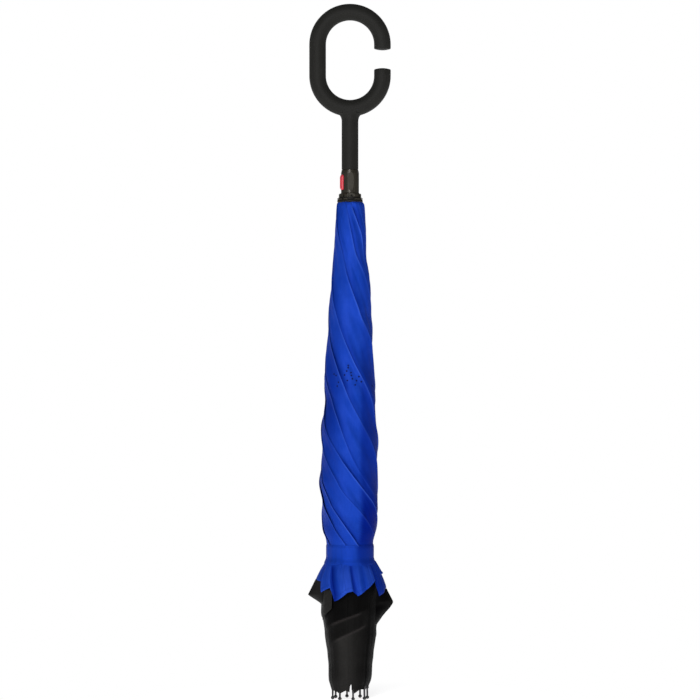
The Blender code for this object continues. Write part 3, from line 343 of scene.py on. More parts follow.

# Pleats of the bundle: turn as a share, and how deep the cloth lies there, which also sets how dark its painted
# shade is
PLEAT_SHARES = (
    (0, 0.9), (0.03, 0.7), (0.08, 0.05), (0.15, 0.45), (0.21, 0.05), (0.28, 0.55), (0.34, 0), (0.4, 0.5),
    (0.46, 0.1), (0.53, 0.85), (0.56, 0.62), (0.585, 0.38), (0.61, 0.42), (0.64, 0.48), (0.66, 0.3),
    (0.68, 0.05), (0.72, 0), (0.74, 0.05), (0.76, 0.2), (0.79, 0.44), (0.83, 0.62), (0.88, 0.9), (0.93, 1),
    (0.97, 1), (1, 0.9),
)

# Painted shade on the blue cloth in the lee of the folds, to the right of an edge: height in shares of the roll's
# top, the edge's turn, and how dark
LEE_SHARES = (
    (0.18, 0.88, 0.6), (0.219, 0.88, 0.6), (0.245, 0.884, 0.6), (0.262, 0.868, 0.45), (0.276, 0.8, 0.48),
    (0.3, 0.793, 0.6), (0.318, 0.8, 0.92), (0.34, 0.812, 1), (0.385, 0.814, 1), (0.42, 0.808, 0.74),
    (0.46, 0.805, 0.66), (0.541, 0.812, 0.64), (0.601, 0.816, 0.62), (0.641, 0.82, 0.56),
    (0.722, 0.836, 0.32), (0.802, 0.843, 0.18), (1, 0.85, 0.1),
)

# Painted shade on the roll's left flank: height in shares of the roll's top, then how dark
FLANK_SHARES = (
    (0.312, 0), (0.335, 0.38), (0.36, 0.28), (0.394, 0.12), (0.43, 0.28), (0.5, 0.4), (0.55, 0.55),
    (0.64, 0.55), (0.72, 0.25), (0.76, 0),
)

# A loose flap of the black layer beside the left corner: turn and height of its corners, from the upper left
# clockwise
FLAP_SHARES = ((0.586, 0.905), (0.650, 0.925), (0.648, 0.756), (0.556, 0.655))


def between(low, high, share):
    """The value a share of the way from low to high."""
    return low + (high - low) * share


def ease(share):
    """Eases a share from 0 to 1."""
    share = min(max(share, 0), 1)
    return share * share * (3 - 2 * share)


def along(table, share, column=1):
    """Reads a table of shares with straight runs between its rows."""
    for low, high in zip(table, table[1:]):
        if share <= high[0]:
            return between(low[column], high[column], max(share - low[0], 0) / (high[0] - low[0]))
    return table[-1][column]


def softly_along(table, share, column=1):
    """Reads a table of shares with a smooth curve through its rows."""
    last = len(table) - 1
    place = 0
    while place < last - 1 and share > table[place + 1][0]:
        place += 1
    low, high = table[place], table[place + 1]
    step = high[0] - low[0]
    before = table[max(place - 1, 0)]
    after = table[min(place + 2, last)]
    slope_low = (high[column] - before[column]) / (high[0] - before[0]) * step
    slope_high = (after[column] - low[column]) / (after[0] - low[0]) * step
    t = min(max((share - low[0]) / step, 0), 1)
    rise = high[column] - low[column]
    return low[column] + t * (slope_low + t * (3 * rise - 2 * slope_low - slope_high
                                               + t * (slope_low + slope_high - 2 * rise)))


def rough(across, along_it, seed):
    """Soft noise over two numbers, its own for each seed."""
    return noise.noise(Vector((across, along_it, seed)))


def round_the_shaft(turn, radius, z):
    """A point at a direction and distance from the shaft."""
    return Vector((math.cos(turn) * radius, math.sin(turn) * radius, z))


def turns_round(sides):
    """Directions evenly round the shaft or a ring."""
    return [math.tau * side / sides for side in range(sides)]


def rib_turn(number):
    """Direction of a rib round the shaft."""
    return FIRST_RIB_TURN + number * GORE_TURN


def round_share(turn):
    """A direction round the shaft as a share of a full turn."""
    return (turn / math.tau) % 1


# Meshes


def put_in_scene(name, data):
    """Puts a mesh, lamp or camera in the scene."""
    made = bpy.data.objects.new(name, data)
    bpy.context.scene.collection.objects.link(made)
    return made


def mesh_object(name, mesh, finish):
    """Puts a mesh in the scene with its material."""
    mesh.materials.append(finish)
    return put_in_scene(name, mesh)


def plain_mesh(name, points, faces):
    """A mesh over points and faces."""
    mesh = bpy.data.meshes.new(name)
    mesh.from_pydata(points, [], faces)
    return mesh


def lay_cloth(mesh, places):
    """Gives a mesh its own cloth coordinates in metres, one place for each point."""
    layer = mesh.uv_layers.new(name="cloth")
    for loop in mesh.loops:
        layer.data[loop.index].uv = places[loop.vertex_index]


def grid_mesh(name, rows, cloth_rows, marks=None, closed=False):
    """A sheet over rows of points, with its own cloth coordinates and marks for its painted highlights, painted
    shade and hem.
    """
    width = len(rows[0])
    faces = []
    for r in range(len(rows) - 1):
        for c in range(width if closed else width - 1):
            after = (c + 1) % width
            faces.append((r * width + c, (r + 1) * width + c, (r + 1) * width + after, r * width + after))
    mesh = plain_mesh(name, [point for row in rows for point in row], faces)
    mesh.shade_smooth()
    lay_cloth(mesh, [place for row in cloth_rows for place in row])
    for mark, values in (marks or {}).items():
        attribute = mesh.attributes.new(mark, "FLOAT", "POINT")
        attribute.data.foreach_set("value", [value for row in values for value in row])
    return mesh


def thickened(piece, thickness):
    """Gives a sheet its cloth's thickness, inwards, as part of its mesh."""
    step = piece.modifiers.new("cloth", "SOLIDIFY")
    step.thickness = thickness
    step.offset = -1
    apply_steps(piece)
    return piece


def apply_steps(piece):
    """Makes a piece's modifiers part of its mesh."""
    bpy.context.view_layer.update()
    graph = bpy.context.evaluated_depsgraph_get()
    shaped = piece.evaluated_get(graph)
    mesh = bpy.data.meshes.new_from_object(shaped, preserve_all_data_layers=True, depsgraph=graph)
    piece.modifiers.clear()
    piece.data = mesh


def flat_size(rows):
    """Mean width and length of a sheet, measured along its curves."""
    sizes = []
    for lines in (rows, list(zip(*rows))):
        lengths = [sum((b - a).length for a, b in zip(line, line[1:])) for line in lines]
        sizes.append(sum(lengths) / len(lengths))
    return tuple(sizes)


def fit_to_gore(piece, number, layer, *stands_for):
    """Makes a piece of the closed canopy go with its rib and stand for solids."""
    hinge = JOINTS[f"rib_hinge_{number + 1}"]
    across = round_the_shaft(rib_turn(number), math.cos(RIB_LEAN), math.sin(RIB_LEAN))
    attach(piece, f"rib_{number + 1}")
    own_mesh(piece)
    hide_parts(*stands_for)


def make_cloth(name, rows, number, layer, finish):
    """A sheet of the closed canopy, with what it stands for and how it moves.

    Each column of a row is a point, its place on the cloth, and its marks for the fold's painted highlight,
    painted shade and hem.
    """
    parts = ([[column[part] for column in row] for row in rows] for part in range(5))
    points, places, fold_highlights, painted_shades, hems = parts
    mesh = grid_mesh(name, points, places, {"fold": fold_highlights, "painted_shade": painted_shades, "hem": hems})
    piece = thickened(mesh_object(name, mesh, finish), CLOTH_THICKNESS)
    fit_to_gore(piece, number, layer, f"{layer}_gore_{number + 1}")
    flat_size(points)


def sheet_rows(count, columns, column_at):
    """Rows of a sheet from its top to its hem, with each column's values at a share of the way down."""
    return [[column_at(column, row / count) for column in columns] for row in range(count + 1)]


# Shading


class Signal:
    """A socket in a material, with arithmetic that adds its nodes."""

    def __init__(self, shading, socket):
        self.shading = shading
        self.socket = socket

    def maths(self, operation, *values):
        """Adds a Math node over this signal and other values."""
        return self.shading.node("Math", {"operation": operation}, dict(enumerate((self, *values))))

    def maths_after(self, operation, value):
        """Adds a Math node over another value and this signal."""
        return self.shading.node("Math", {"operation": operation}, {0: value, 1: self})

    def __add__(self, other):
        return self.maths("ADD", other)

    __radd__ = __add__

    def __mul__(self, other):
        return self.maths("MULTIPLY", other)

    __rmul__ = __mul__

    def __sub__(self, other):
        return self.maths("SUBTRACT", other)

    def __rsub__(self, other):
        return self.maths_after("SUBTRACT", other)

    def __truediv__(self, other):
        return self.maths("DIVIDE", other)

    def __rtruediv__(self, other):
        return self.maths_after("DIVIDE", other)


class Shading:
    """A material being made: its nodes, its shader and a few ready signals."""

    def __init__(self, name):
        self.material = bpy.data.materials.new(name)
        self.material.use_nodes = True
        self.tree = self.material.node_tree
        self.shader = self.tree.nodes["Principled BSDF"]

    def node(self, kind, settings=None, values=None, output=0):
        """Adds a node with its settings and its sockets' values or links, and gives one of its outputs."""
        made = self.tree.nodes.new("ShaderNode" + kind)
        for setting, value in (settings or {}).items():
            setattr(made, setting, value)
        for socket, value in (values or {}).items():
            target = made.inputs[socket]
            if isinstance(value, Signal):
                self.tree.links.new(value.socket, target)
            else:
                target.default_value = value
        return Signal(self, made.outputs[output])

    def constant(self, **values):
        """Sets plain values on the shader."""
        for name, value in values.items():
            self.shader.inputs[name.replace("_", " ").title().replace("Ior", "IOR")].default_value = value

    def feed(self, socket, signal):
        """Links a signal to one of the shader's sockets."""
        self.tree.links.new(signal.socket, self.shader.inputs[socket])

    def surface(self, colour, roughness, normal):
        """Links the three signals that most finishes vary."""
        self.feed("Base Color", colour)
        self.feed("Roughness", roughness)
        self.feed("Normal", normal)

    def cloth_place(self):
        """Cloth coordinates, in metres across and along the sheet."""
        return self.node("UVMap", {"uv_map": "cloth"})

    def place(self):
        """Coordinates in the piece, in metres."""
        return self.node("TexCoord", output=3)

    def split(self, vector, axis):
        """One of a vector's numbers."""
        return self.node("SeparateXYZ", values={0: vector}, output=axis)

    def cloud(self, vector, size, detail=3.0, stretch=(1, 1, 1)):
        """Soft noise with features of a size in metres."""
        scale = tuple(part / size for part in stretch)
        scaled = self.node("VectorMath", {"operation": "MULTIPLY"}, {0: vector, 1: scale})
        return self.node("TexNoise", values={"Vector": scaled, "Scale": 1.0, "Detail": detail})

    def waves(self, signal, pitch):
        """A smooth wave from 0 to 1 along a signal in metres."""
        return (signal * (math.tau / pitch)).maths("SINE") * 0.5 + 0.5

    def weave(self, across, down):
        """Plain weave over two signals in metres."""
        return self.waves(across, WEAVE_PITCH) * self.waves(down, WEAVE_PITCH)

    def mark(self, name):
        """One of the marks that the sheets carry for their painted highlights, painted shade and hem stitches."""
        return self.node("Attribute", {"attribute_name": name}, output=2)

    def mixed(self, low, high, share):
        """A colour between two, each a signal or three numbers, by a signal."""
        low, high = (end if isinstance(end, Signal) else opaque(*end) for end in (low, high))
        return self.node("Mix", {"data_type": "RGBA"}, {"Factor": share, 6: low, 7: high}, output=2)

    def bumped(self, height, strength, reach=CLOTH_BUMP):
        """A normal from a height signal, in shares of a reach in metres."""
        return self.node("Bump", values={"Height": height, "Strength": strength, "Distance": reach})


def opaque(red, green, blue):
    """A colour as a node takes it, with nothing see-through."""
    return (red, green, blue, 1)


def woven_cloth(name, deep, plain, light, dark, edge_light, gloss, metallic):
    """Thin, dense umbrella cloth: plain weave, mottling, painted highlights on fold edges, painted shade in
    creases and folds, and a stitched hem.
    """
    made = Shading(name)
    cloth = made.cloth_place()
    across = made.split(cloth, 0)
    down = made.split(cloth, 1)
    weave = made.weave(across, down)
    mottle = made.cloud(cloth, MOTTLE_SIZE)
    slub = made.cloud(cloth, SLUB_SIZE, 2.0, (1, 0.12, 1))
    fold, painted_shade, hem = made.mark("fold"), made.mark("painted_shade"), made.mark("hem")
    tone = (mottle - 0.5) * 0.9 + (slub - 0.5) * 0.5 + (weave - 0.25) * 0.2 + 0.5
    base = made.mixed(deep, plain, tone)
    # Painted shade: darkens the cloth where its sheet marks shade in creases, tucks and the lee of folds.
    shaded = made.mixed(base, dark, painted_shade)
    # Painted highlight: lightens the cloth along fold edges that face the light.
    fold_highlit = made.mixed(shaded, light, fold * edge_light)
    stitch_line = (hem - 0.5).maths("ABSOLUTE").maths("LESS_THAN", 0.055)
    stitch_gap = made.waves(across, STITCH_PITCH).maths("GREATER_THAN", 0.3)
    stitch = stitch_line * stitch_gap
    colour = made.mixed(fold_highlit, [part * 0.5 for part in plain], stitch * 0.35)
    crumple = made.cloud(cloth, CRUMPLE_SIZE, 3.0, (1, 0.45, 1))
    made.surface(colour, mottle * 0.16 + 0.47, made.bumped(weave * 0.08 + crumple * 1.3 + stitch * 0.4, 0.6))
    # Less coat gloss where shade is painted.
    made.feed("Coat Weight", (1 - painted_shade) * (mottle * 0.5 + 0.75) * gloss)
    made.constant(metallic=metallic, coat_roughness=0.5, specular_ior_level=0.02)
    made.constant(sheen_weight=0.01, sheen_roughness=0.4)
    return made.material


def strap_webbing():
    """The tie strap: the canopy's cloth doubled, with a stitched edge on both sides and the roll's painted shade.
    """
    made = Shading("strap_cloth")
    cloth = made.cloth_place()
    around = made.split(cloth, 0)
    up = made.split(cloth, 1)
    weave = made.weave(around, up)
    mottle = made.cloud(cloth, STRAP_MOTTLE_SIZE)
    tone = (mottle - 0.5) * 0.9 + weave * 0.2 + 0.45
    base = made.mixed((0.002, 0.036, 0.37), (0.012, 0.059, 0.46), tone)
    edge = (up - STRAP_STITCH_INSET).maths("ABSOLUTE")
    far_edge = (up - (STRAP_TOP_Z - STRAP_Z - STRAP_STITCH_INSET)).maths("ABSOLUTE")
    line = edge.maths("MINIMUM", far_edge).maths("LESS_THAN", STRAP_STITCH_WIDTH)
    dash = made.waves(around, STITCH_PITCH).maths("GREATER_THAN", 0.28)
    stitch = line * dash
    gather = made.cloud(cloth, STRAP_GATHER_SIZE, 2.0, (1, 0.2, 1))
    # Painted shade from the roll's lee and flank.
    shaded = made.mixed(base, (0.0005, 0.011, 0.21), made.mark("painted_shade"))
    colour = made.mixed(shaded, (0.003, 0.022, 0.24), stitch * 0.3)
    height = weave * 0.10 - line * 0.4 + stitch * 0.3 + gather * 1.8
    made.surface(colour, mottle * 0.15 + 0.5, made.bumped(height, 0.6))
    made.constant(metallic=0.4, specular_ior_level=0.05, sheen_weight=0.01, sheen_roughness=0.4)
    return made.material


def soft_touch():
    """The grip's rubbery coat: charcoal, matte, faintly mottled, with a fine grain."""
    made = Shading("soft_touch")
    place = made.place()
    grain = made.cloud(place, RUBBER_GRAIN_SIZE, 2.0)
    rub = made.cloud(place, RUBBED_PATCH_SIZE, 4.0)
    colour = made.mixed((0.0125, 0.0123, 0.0112), (0.0200, 0.0197, 0.0180), rub)
    made.surface(colour, rub * 0.16 + 0.5, made.bumped(grain, 0.10, RUBBER_BUMP))
    made.constant(specular_ior_level=0.08, sheen_weight=0.03, sheen_roughness=0.5)
    return made.material


def gloss_plastic():
    """The runner, crown and cap: glossy moulded black with faint flow marks and specks."""
    made = Shading("gloss_moulding")
    place = made.place()
    flow = made.cloud(place, FLOW_MARK_SIZE, 3.0, (1, 1, 0.3))
    speck = made.cloud(place, SPECK_SIZE, 2.0)
    colour = made.mixed((0.013, 0.0112, 0.008), (0.026, 0.0235, 0.017), flow)
    made.surface(colour, flow * 0.12 + speck * 0.05 + 0.24, made.bumped(flow, 0.10, FLOW_BUMP))
    made.constant(specular_ior_level=0.4, specular_tint=opaque(1, 0.95, 0.86))
    return made.material


def red_plastic():
    """The button: satin red with a fine moulded grain."""
    made = Shading("red_moulding")
    grain = made.cloud(made.place(), RED_GRAIN_SIZE, 3.0)
    colour = made.mixed((0.54, 0.030, 0.048), (0.70, 0.050, 0.075), grain)
    made.surface(colour, grain * 0.12 + 0.3, made.bumped(grain, 0.12, FINE_BUMP))
    made.constant(specular_ior_level=0.35)
    return made.material


def worn_metal(name, dark, plain, roughness, metallic, along_z):
    """Drawn metal with streaks along its length and a few dull patches."""
    made = Shading(name)
    place = made.place()
    streak = made.cloud(place, STREAK_SIZE, 2.0, (1, 1, along_z))
    patch = made.cloud(place, DULL_PATCH_SIZE, 4.0)
    colour = made.mixed(dark, plain, streak * 0.6 + patch * 0.4)
    made.surface(colour, patch * 0.2 + streak * 0.1 + roughness, made.bumped(streak, 0.12, FINE_BUMP))
    made.constant(metallic=metallic)
    return made.material


def hole_shadow():
    """The painted shadow inside the small vent holes, faintly blue."""
    made = Shading("hole_shadow")
    grain = made.cloud(made.place(), HOLE_GRAIN_SIZE, 2.0)
    made.feed("Base Color", made.mixed((0.002, 0.004, 0.03), (0.003, 0.009, 0.06), grain))
    made.feed("Roughness", grain * 0.2 + 0.7)
    made.constant(specular_ior_level=0.1)
    return made.material


# Roll of the blue layer


def way_down(z):
    """Share of the way from the roll's top to the strap's foot."""
    return (ROLL_TOP_Z - z) / (ROLL_TOP_Z - STRAP_Z)


def way_up(z):
    """Share of the way from the strap to the roll's top."""
    return (z - ROLL_FOOT_Z) / (ROLL_TOP_Z - ROLL_FOOT_Z)


def spiral_turn(z):
    """How far the folds have turned round the shaft at a height."""
    return SPIRAL_TURN * softly_along(SPIRAL_SHARES, way_down(z))


def fold_value(number, z, column):
    """Reads a fold's table at a height."""
    return softly_along(FOLD_SHARES[number % GORES], way_down(z), column)


def fold_turn(number, z):
    """Direction of a fold's edge at a height."""
    place = fold_value(number, z, 1) + number - number % GORES
    return FIRST_RIB_TURN + (place - 0.5) * GORE_TURN + spiral_turn(z)


def fold_strength(number, z):
    """How strongly a fold's edge stands out at a height."""
    fade = ease((z - STRAP_Z) / (ROLL_FOOT_Z - STRAP_Z + FOLD_RISE_REACH)) * ease((ROLL_TOP_Z - z) / TOP_EASE)
    return max(fold_value(number, z, 2) * fade, FOLD_LEAST)


def roll_radius(z, turn):
    """The roll's radius in one direction, before its folds."""
    share = way_up(z)
    if share < 0:
        inside = STRAP_INNER - CLOTH_THICKNESS * 3
        return between(inside, ROLL_RADIUS * ROLL_SHARES[0][1], ease(1 + share * 3))
    lean = softly_along(ROLL_SHARES, share, 2) * -math.cos(turn)
    return ROLL_RADIUS * (softly_along(ROLL_SHARES, share) + lean)


def slack(z, turn):
    """Long soft waves and finer wrinkles that run with the folds, as a height over the roll."""
    across = (turn - spiral_turn(z)) * ROLL_RADIUS
    wide = rough(across / SLACK_REACH, z / SLACK_RUN, 1)
    fine = rough(across / WRINKLE_REACH, z / WRINKLE_RUN, 7)
    near_strap = 1 - ease((z - ROLL_FOOT_Z) / SLACK_RUN)
    pinch = rough(across / WRINKLE_REACH, z / SLACK_RUN, 13) * near_strap
    return SLACK_DEPTH * wide + WRINKLE_DEPTH * (fine + pinch * 2)


def clear_of_strap(z):
    """Fades what the strap presses flat, from 0 at the strap to 1 a little over it."""
    return ease((z - ROLL_FOOT_Z) / STRAP_EASE)


def gore_profile(number, z):
    """Where a gore starts at a height, the roll's radius there, its width, and its two folds' strengths."""
    start = fold_turn(number, z)
    radius = roll_radius(z, start)
    width = (fold_turn(number + 1, z) - start) * radius
    return start, radius, width, fold_strength(number, z), fold_strength(number + 1, z)


def cloth_height(profile, from_start, z):
    """Height of a gore's cloth over the roll, at a distance from its start."""
    radius, width, low, high = profile[1:]
    share = from_start / width
    rise = -FOLD_DEPTH * low * (1 - ease(from_start / FOLD_RISE_REACH)) ** 2
    lip = FOLD_LIP * high * (1 - ease((width - from_start) / FOLD_LIP_REACH / 2))
    flat = width**2 / radius / 8 * FOLD_FLATNESS * clear_of_strap(z)
    return rise + lip - flat * (4 * share * (1 - share) - FOLD_CREST_SHARE)


def roll_section(number, z):
    """One row across a gore: direction, height over the roll, painted highlight on the fold's edge and painted
    shade by the crease and in the lee.
    """
    profile = gore_profile(number, z)
    before = gore_profile(number - 1, z)
    start, radius, width, low, high = profile
    tuck = min(TUCK_LENGTH, width * TUCK_WIDTH_SHARE, before[2] * TUCK_WIDTH_SHARE)
    back = min(RETURN_LENGTH, width * TUCK_WIDTH_SHARE)
    row = []
    # Tucked cloth under the gore before is marked as full painted shade.
    for reach in (tuck, tuck / 2):
        under = min(cloth_height(before, before[2] - reach, z), cloth_height(profile, 0, z))
        row.append((start - reach / radius, under - TUCK_GAP, 0, 1))
    for column in range(ROLL_COLUMNS + 1):
        share = column / ROLL_COLUMNS
        share = between(share, 0.5 - 0.5 * math.cos(math.pi * share), 0.8)
        from_start = share * width
        # Painted highlight along the fold's edge; painted shade in the crease and in the lee.
        edge = high * (1 - ease((width - from_start) / FOLD_LIP_REACH))
        narrow = 1 - ease(from_start / FOLD_LIP_REACH)
        dark = low * between(narrow, 1 - ease(from_start / FOLD_SHADE_REACH), FOLD_SHADE)
        turn = start + from_start / radius
        row.append((turn, cloth_height(profile, from_start, z), edge, max(dark, lee_shade(turn, z))))
    end = start + width / radius
    curl = FOLD_CURL * (0.5 + high * 0.5)
    crest = row[-1][1]
    # The curled lip: painted highlight on its top, painted shade under it and on the turned-back cloth.
    row.append((end + curl * 0.7 / radius, crest - curl * 0.5, high, 0))
    row.append((end + curl * 0.4 / radius, crest - curl * 1.3, 0, 0.6))
    for reach in (back / 2, back):
        row.append((end - reach / radius, cloth_height(profile, width - reach, z) - RETURN_GAP, 0, 1))
    return row


def lee_shade(turn, z):
    """Painted shade on the blue cloth in the lee of the folds on the roll's right side, and on its left flank."""
    height = z / ROLL_TOP_Z
    past = round_share(turn) - along(LEE_SHARES, height) + LEE_EDGE / 3
    lee = along(LEE_SHARES, height, 2) * ease(past / LEE_EDGE) * (1 - ease((past - LEE_WIDTH) / LEE_WIDTH))
    from_flank = abs(round_share(turn) - FLANK_TURN_SHARE)
    return max(lee, along(FLANK_SHARES, height) * (1 - ease(from_flank / FLANK_WIDTH)))


def make_roll_gore(number, finish):
    """One gore of the blue layer where it is rolled round the shaft."""
    foot = between(STRAP_Z, ROLL_FOOT_Z, 0.4)
    rows = []
    for row in range(ROLL_ROWS + 1):
        z = between(ROLL_TOP_Z, foot, row / ROLL_ROWS)
        close = 1 - ease((ROLL_TOP_Z - z) / ROLL_CLOSING)
        columns = []
        for turn, height, fold, painted_shade in roll_section(number, z):
            radius = roll_radius(z, turn) + height + slack(z, turn) * (1 - close) * clear_of_strap(z)
            radius -= close * (radius - RUNNER_SEAT_RADIUS)
            point = round_the_shaft(turn, radius, z + ROLL_TOP_NECK * close)
            columns.append((point, (turn * ROLL_RADIUS * 0.8, z), fold, painted_shade, 0))
        rows.append(columns)
    make_cloth(f"blue_roll_{number + 1}", rows, number, "blue", finish)


def surface_height(number, turn, z):
    """Height of a gore's cloth over the roll in one direction."""
    section = roll_section(number, z)[2:-4]
    for low, high in zip(section, section[1:]):
        if turn <= high[0]:
            return between(low[1], high[1], (turn - low[0]) / (high[0] - low[0]))
    return section[-1][1]


def gore_at(turn, z):
    """The gore whose cloth is outside in one direction, and that direction counted along the spiral."""
    first = fold_turn(0, z)
    along_spiral = first + (turn - first) % math.tau
    number = 0
    while number < GORES - 1 and along_spiral > fold_turn(number + 1, z):
        number += 1
    return number, along_spiral


def surface_point(number, turn, z, lift):
    """A point just over the roll's cloth."""
    height = surface_height(number, turn, z)
    radius = roll_radius(z, turn) + height + slack(z, turn) * clear_of_strap(z) + lift
    return round_the_shaft(turn, radius, z)


def make_holes(finish):
    """Discs of painted shadow that stand for the small vent holes in the blue layer, round the roll's middle."""
    by_gore = {}
    for front, height in HOLE_SHARES:
        z = between(ROLL_FOOT_Z, ROLL_TOP_Z, height)
        number, turn = gore_at(math.pi * 1.5 + front * math.tau, z)
        rim = []
        for way in turns_round(HOLE_SIDES):
            across = HOLE_RADIUS * math.cos(way) / roll_radius(z, turn)
            rim.append(surface_point(number, turn + across, z + HOLE_RADIUS * math.sin(way), HOLE_LIFT))
        by_gore.setdefault(number, []).append(rim)
    for number, rims in by_gore.items():
        name = f"vent_holes_{number + 1}"
        faces = [tuple(range(k * HOLE_SIDES, (k + 1) * HOLE_SIDES)) for k in range(len(rims))]
        mesh = plain_mesh(name, [point for rim in rims for point in rim], faces)
        piece = thickened(mesh_object(name, mesh, finish), HOLE_THICKNESS)
        fit_to_gore(piece, number, "blue", f"blue_gore_{number + 1}")


# Skirt, lining and bundle


def corner_reach(corners, turn, z, base):
    """How far a layer's corners stand out past its plain radius."""
    reach = base
    for place, half_width, rows in corners:
        off = abs((round_share(turn) - place + 0.5) % 1 - 0.5) / half_width
        height = z / BUNDLE_TOP_Z
        if off < 1 and rows[0][0] < height < rows[-1][0]:
            tip = CORNER_REACH * along(rows, height)
            reach = max(reach, between(tip, base, off**0.85))
    return reach


def skirt_fall(z):
    """How far the skirt has spread out at a height, as a share."""
    down = min(max((SKIRT_TOP_Z - z) / SKIRT_DEPTH, 0), 1)
    return 1 - (1 - down) ** 1.5


def skirt_radius(turn, z, flare):
    """The blue skirt's radius at a height, in one direction."""
    spread = skirt_fall(z)
    pleat = between(1, flare, ease(spread * 2.4))
    radius = SKIRT_INNER + SKIRT_FLARE * spread * pleat
    pucker = rough(turn * 16, z / SLACK_RUN, 3) * ease(spread * 5) * (1 - spread * 0.6)
    wave = rough(turn * 5, z / SLACK_RUN, 5) * ease(spread * 2)
    radius += SKIRT_PUCKER * (pucker + wave)
    return corner_reach(TUFT_SHARES, turn, z, radius)


def skirt_columns():
    """Where the skirt's columns stand round its hem, as shares of a turn."""
    stops = [row[0] for row in SKIRT_SHARES]
    shares = []
    for low, high in zip(stops, stops[1:]):
        steps = max(round((high - low) * math.tau / SKIRT_STEP_TURN), 2)
        shares.extend(between(low, high, step / steps) for step in range(steps))
    return shares


def skirt_column(share):
    """A column's direction at the strap and at the hem, its hem's height and its flare."""
    low = math.floor(share)
    inside = share - low
    at_strap = math.tau * (along(SKIRT_SHARES, inside, 1) + low)
    hem = between(HEM_HIGH_Z, HEM_LOW_Z, along(SKIRT_SHARES, inside, 2))
    return at_strap, math.tau * share, hem, along(SKIRT_SHARES, inside, 3)


def hem_over(turn):
    """Height and flare of the skirt's hem in one direction."""
    return skirt_column(round_share(turn))[2:]


def gore_shares(number, shares):
    """The columns of one gore below the strap, in order round the shaft."""
    start = (rib_turn(number) - GORE_TURN / 2 + SPIRAL_TURN) / math.tau
    start -= math.floor(start)
    end = start + 1 / GORES
    every = [share + lap for lap in (0, 1) for share in shares]
    inside = [share for share in every if start + COLUMN_LEAST_SHARE < share < end - COLUMN_LEAST_SHARE]
    return [start, *inside, end]


def make_skirt_gore(number, finish):
    """One gore of the blue skirt below the strap."""

    def column_at(column, drop):
        at_strap, at_hem, hem, flare = column
        z = between(SKIRT_TOP_Z, hem, drop)
        turn = between(at_strap, at_hem, min((SKIRT_TOP_Z - z) / SKIRT_DEPTH, 1))
        # Painted highlight on pleats that stand out, painted shade in the tucked pleats and in the lee.
        light = ease((flare - 0.94) * 12) * ease(drop * 2) * 0.35
        dark = max(ease((0.99 - flare) * 5) * ease(drop * 4) * 0.9, lee_shade(turn, z))
        point = round_the_shaft(turn, skirt_radius(turn, z, flare), z)
        return point, (at_hem * ROLL_RADIUS, z), light, dark, drop**6

    columns = [skirt_column(share) for share in gore_shares(number, skirt_columns())]
    rows = sheet_rows(SKIRT_ROWS, columns, column_at)
    make_cloth(f"blue_skirt_{number + 1}", rows, number, "blue", finish)


def bundle_hem_z(turn):
    """Height of the black hem in one direction, lowest at the ribs, with a slit at the front and back."""
    from_rib = abs(((turn - FIRST_RIB_TURN) / GORE_TURN) % 1 - 0.5) * 2
    rise = BUNDLE_HEM_RISE * (1 - from_rib) ** 0.8
    from_slit = min(abs(round_share(turn) - place) for place in (SLIT_TURN_SHARE, 1 - SLIT_TURN_SHARE))
    slit = max(1 - from_slit * SLIT_SHARPNESS, 0)
    tilt = BUNDLE_HEM_TILT * max(math.cos(turn), 0) ** 3
    return BUNDLE_FOOT_Z + rise + tilt + SLIT_HEIGHT * slit**0.4


def drape_rise(turn, z):
    """Height of the slanting folds over the bundle, their edges' painted highlight, and painted shade where the
    cloth lies deep.
    """
    share = z / BUNDLE_TOP_Z
    # Pleat depth, which also gives painted shade in the pleats and on the sides turned from the light.
    deep = softly_along(PLEAT_SHARES, round_share(turn)) * (1 - ease((share - 0.75) * 8))
    rise, light = -PLEAT_DEPTH * deep, 0
    for (turn_a, share_a), (turn_b, share_b), run_on, darkness in DRAPE_SHARES:
        t = ((round_share(turn) - turn_a + DRAPE_LEAD) % 1 - DRAPE_LEAD) / (turn_b - turn_a)
        line = between(share_a, share_b, t)
        start = ease((t + 0.28) * 3)
        fade = start * ease((1.1 - t) * 5)
        above = (share - line) * BUNDLE_TOP_Z / DRAPE_WIDTH
        rise += fade * DRAPE_DEPTH * (ease(above + 0.5) * (1 - ease(above / 9)))
        # Painted highlight along each slanting fold's edge.
        light = max(light, fade * ease((t - DRAPE_BARE) * 4) * max(1 - abs(above - 0.2), 0))
        # Painted shade over each slanting fold.
        deep = max(deep, start * ease((run_on - t) * 3) * ease(above) * darkness)
    return rise, light, deep


def bundle_radius(z, turn):
    """The black bundle's radius in one direction."""
    wide = rough(turn * 2.2, z / SLACK_RUN, 21)
    fine = rough(turn * 6.5, z / SLACK_RUN * 1.5, 33)
    share = z / BUNDLE_TOP_Z
    lean = softly_along(BUNDLE_SHARES, share, 2) * math.cos(turn)
    plain = BUNDLE_RADIUS * (softly_along(BUNDLE_SHARES, share) + lean)
    plain += SLACK_DEPTH * wide * 0.7 + WRINKLE_DEPTH * fine
    return corner_reach(CORNER_SHARES, turn, z, plain)


def lining_radius(turn, z):
    """The black layer's radius, always inside the blue skirt, and the painted highlight and painted shade of its
    folds.
    """
    rise, light, deep = drape_rise(turn, z)
    radius = bundle_radius(z, turn) + rise
    hem, flare = hem_over(turn)
    if z > hem:
        gap = min(LINING_GAP, CLOTH_THICKNESS * 2 + (z - hem) * 0.2)
        radius = min(radius, skirt_radius(turn, z, flare) - gap)
    return radius, light, deep


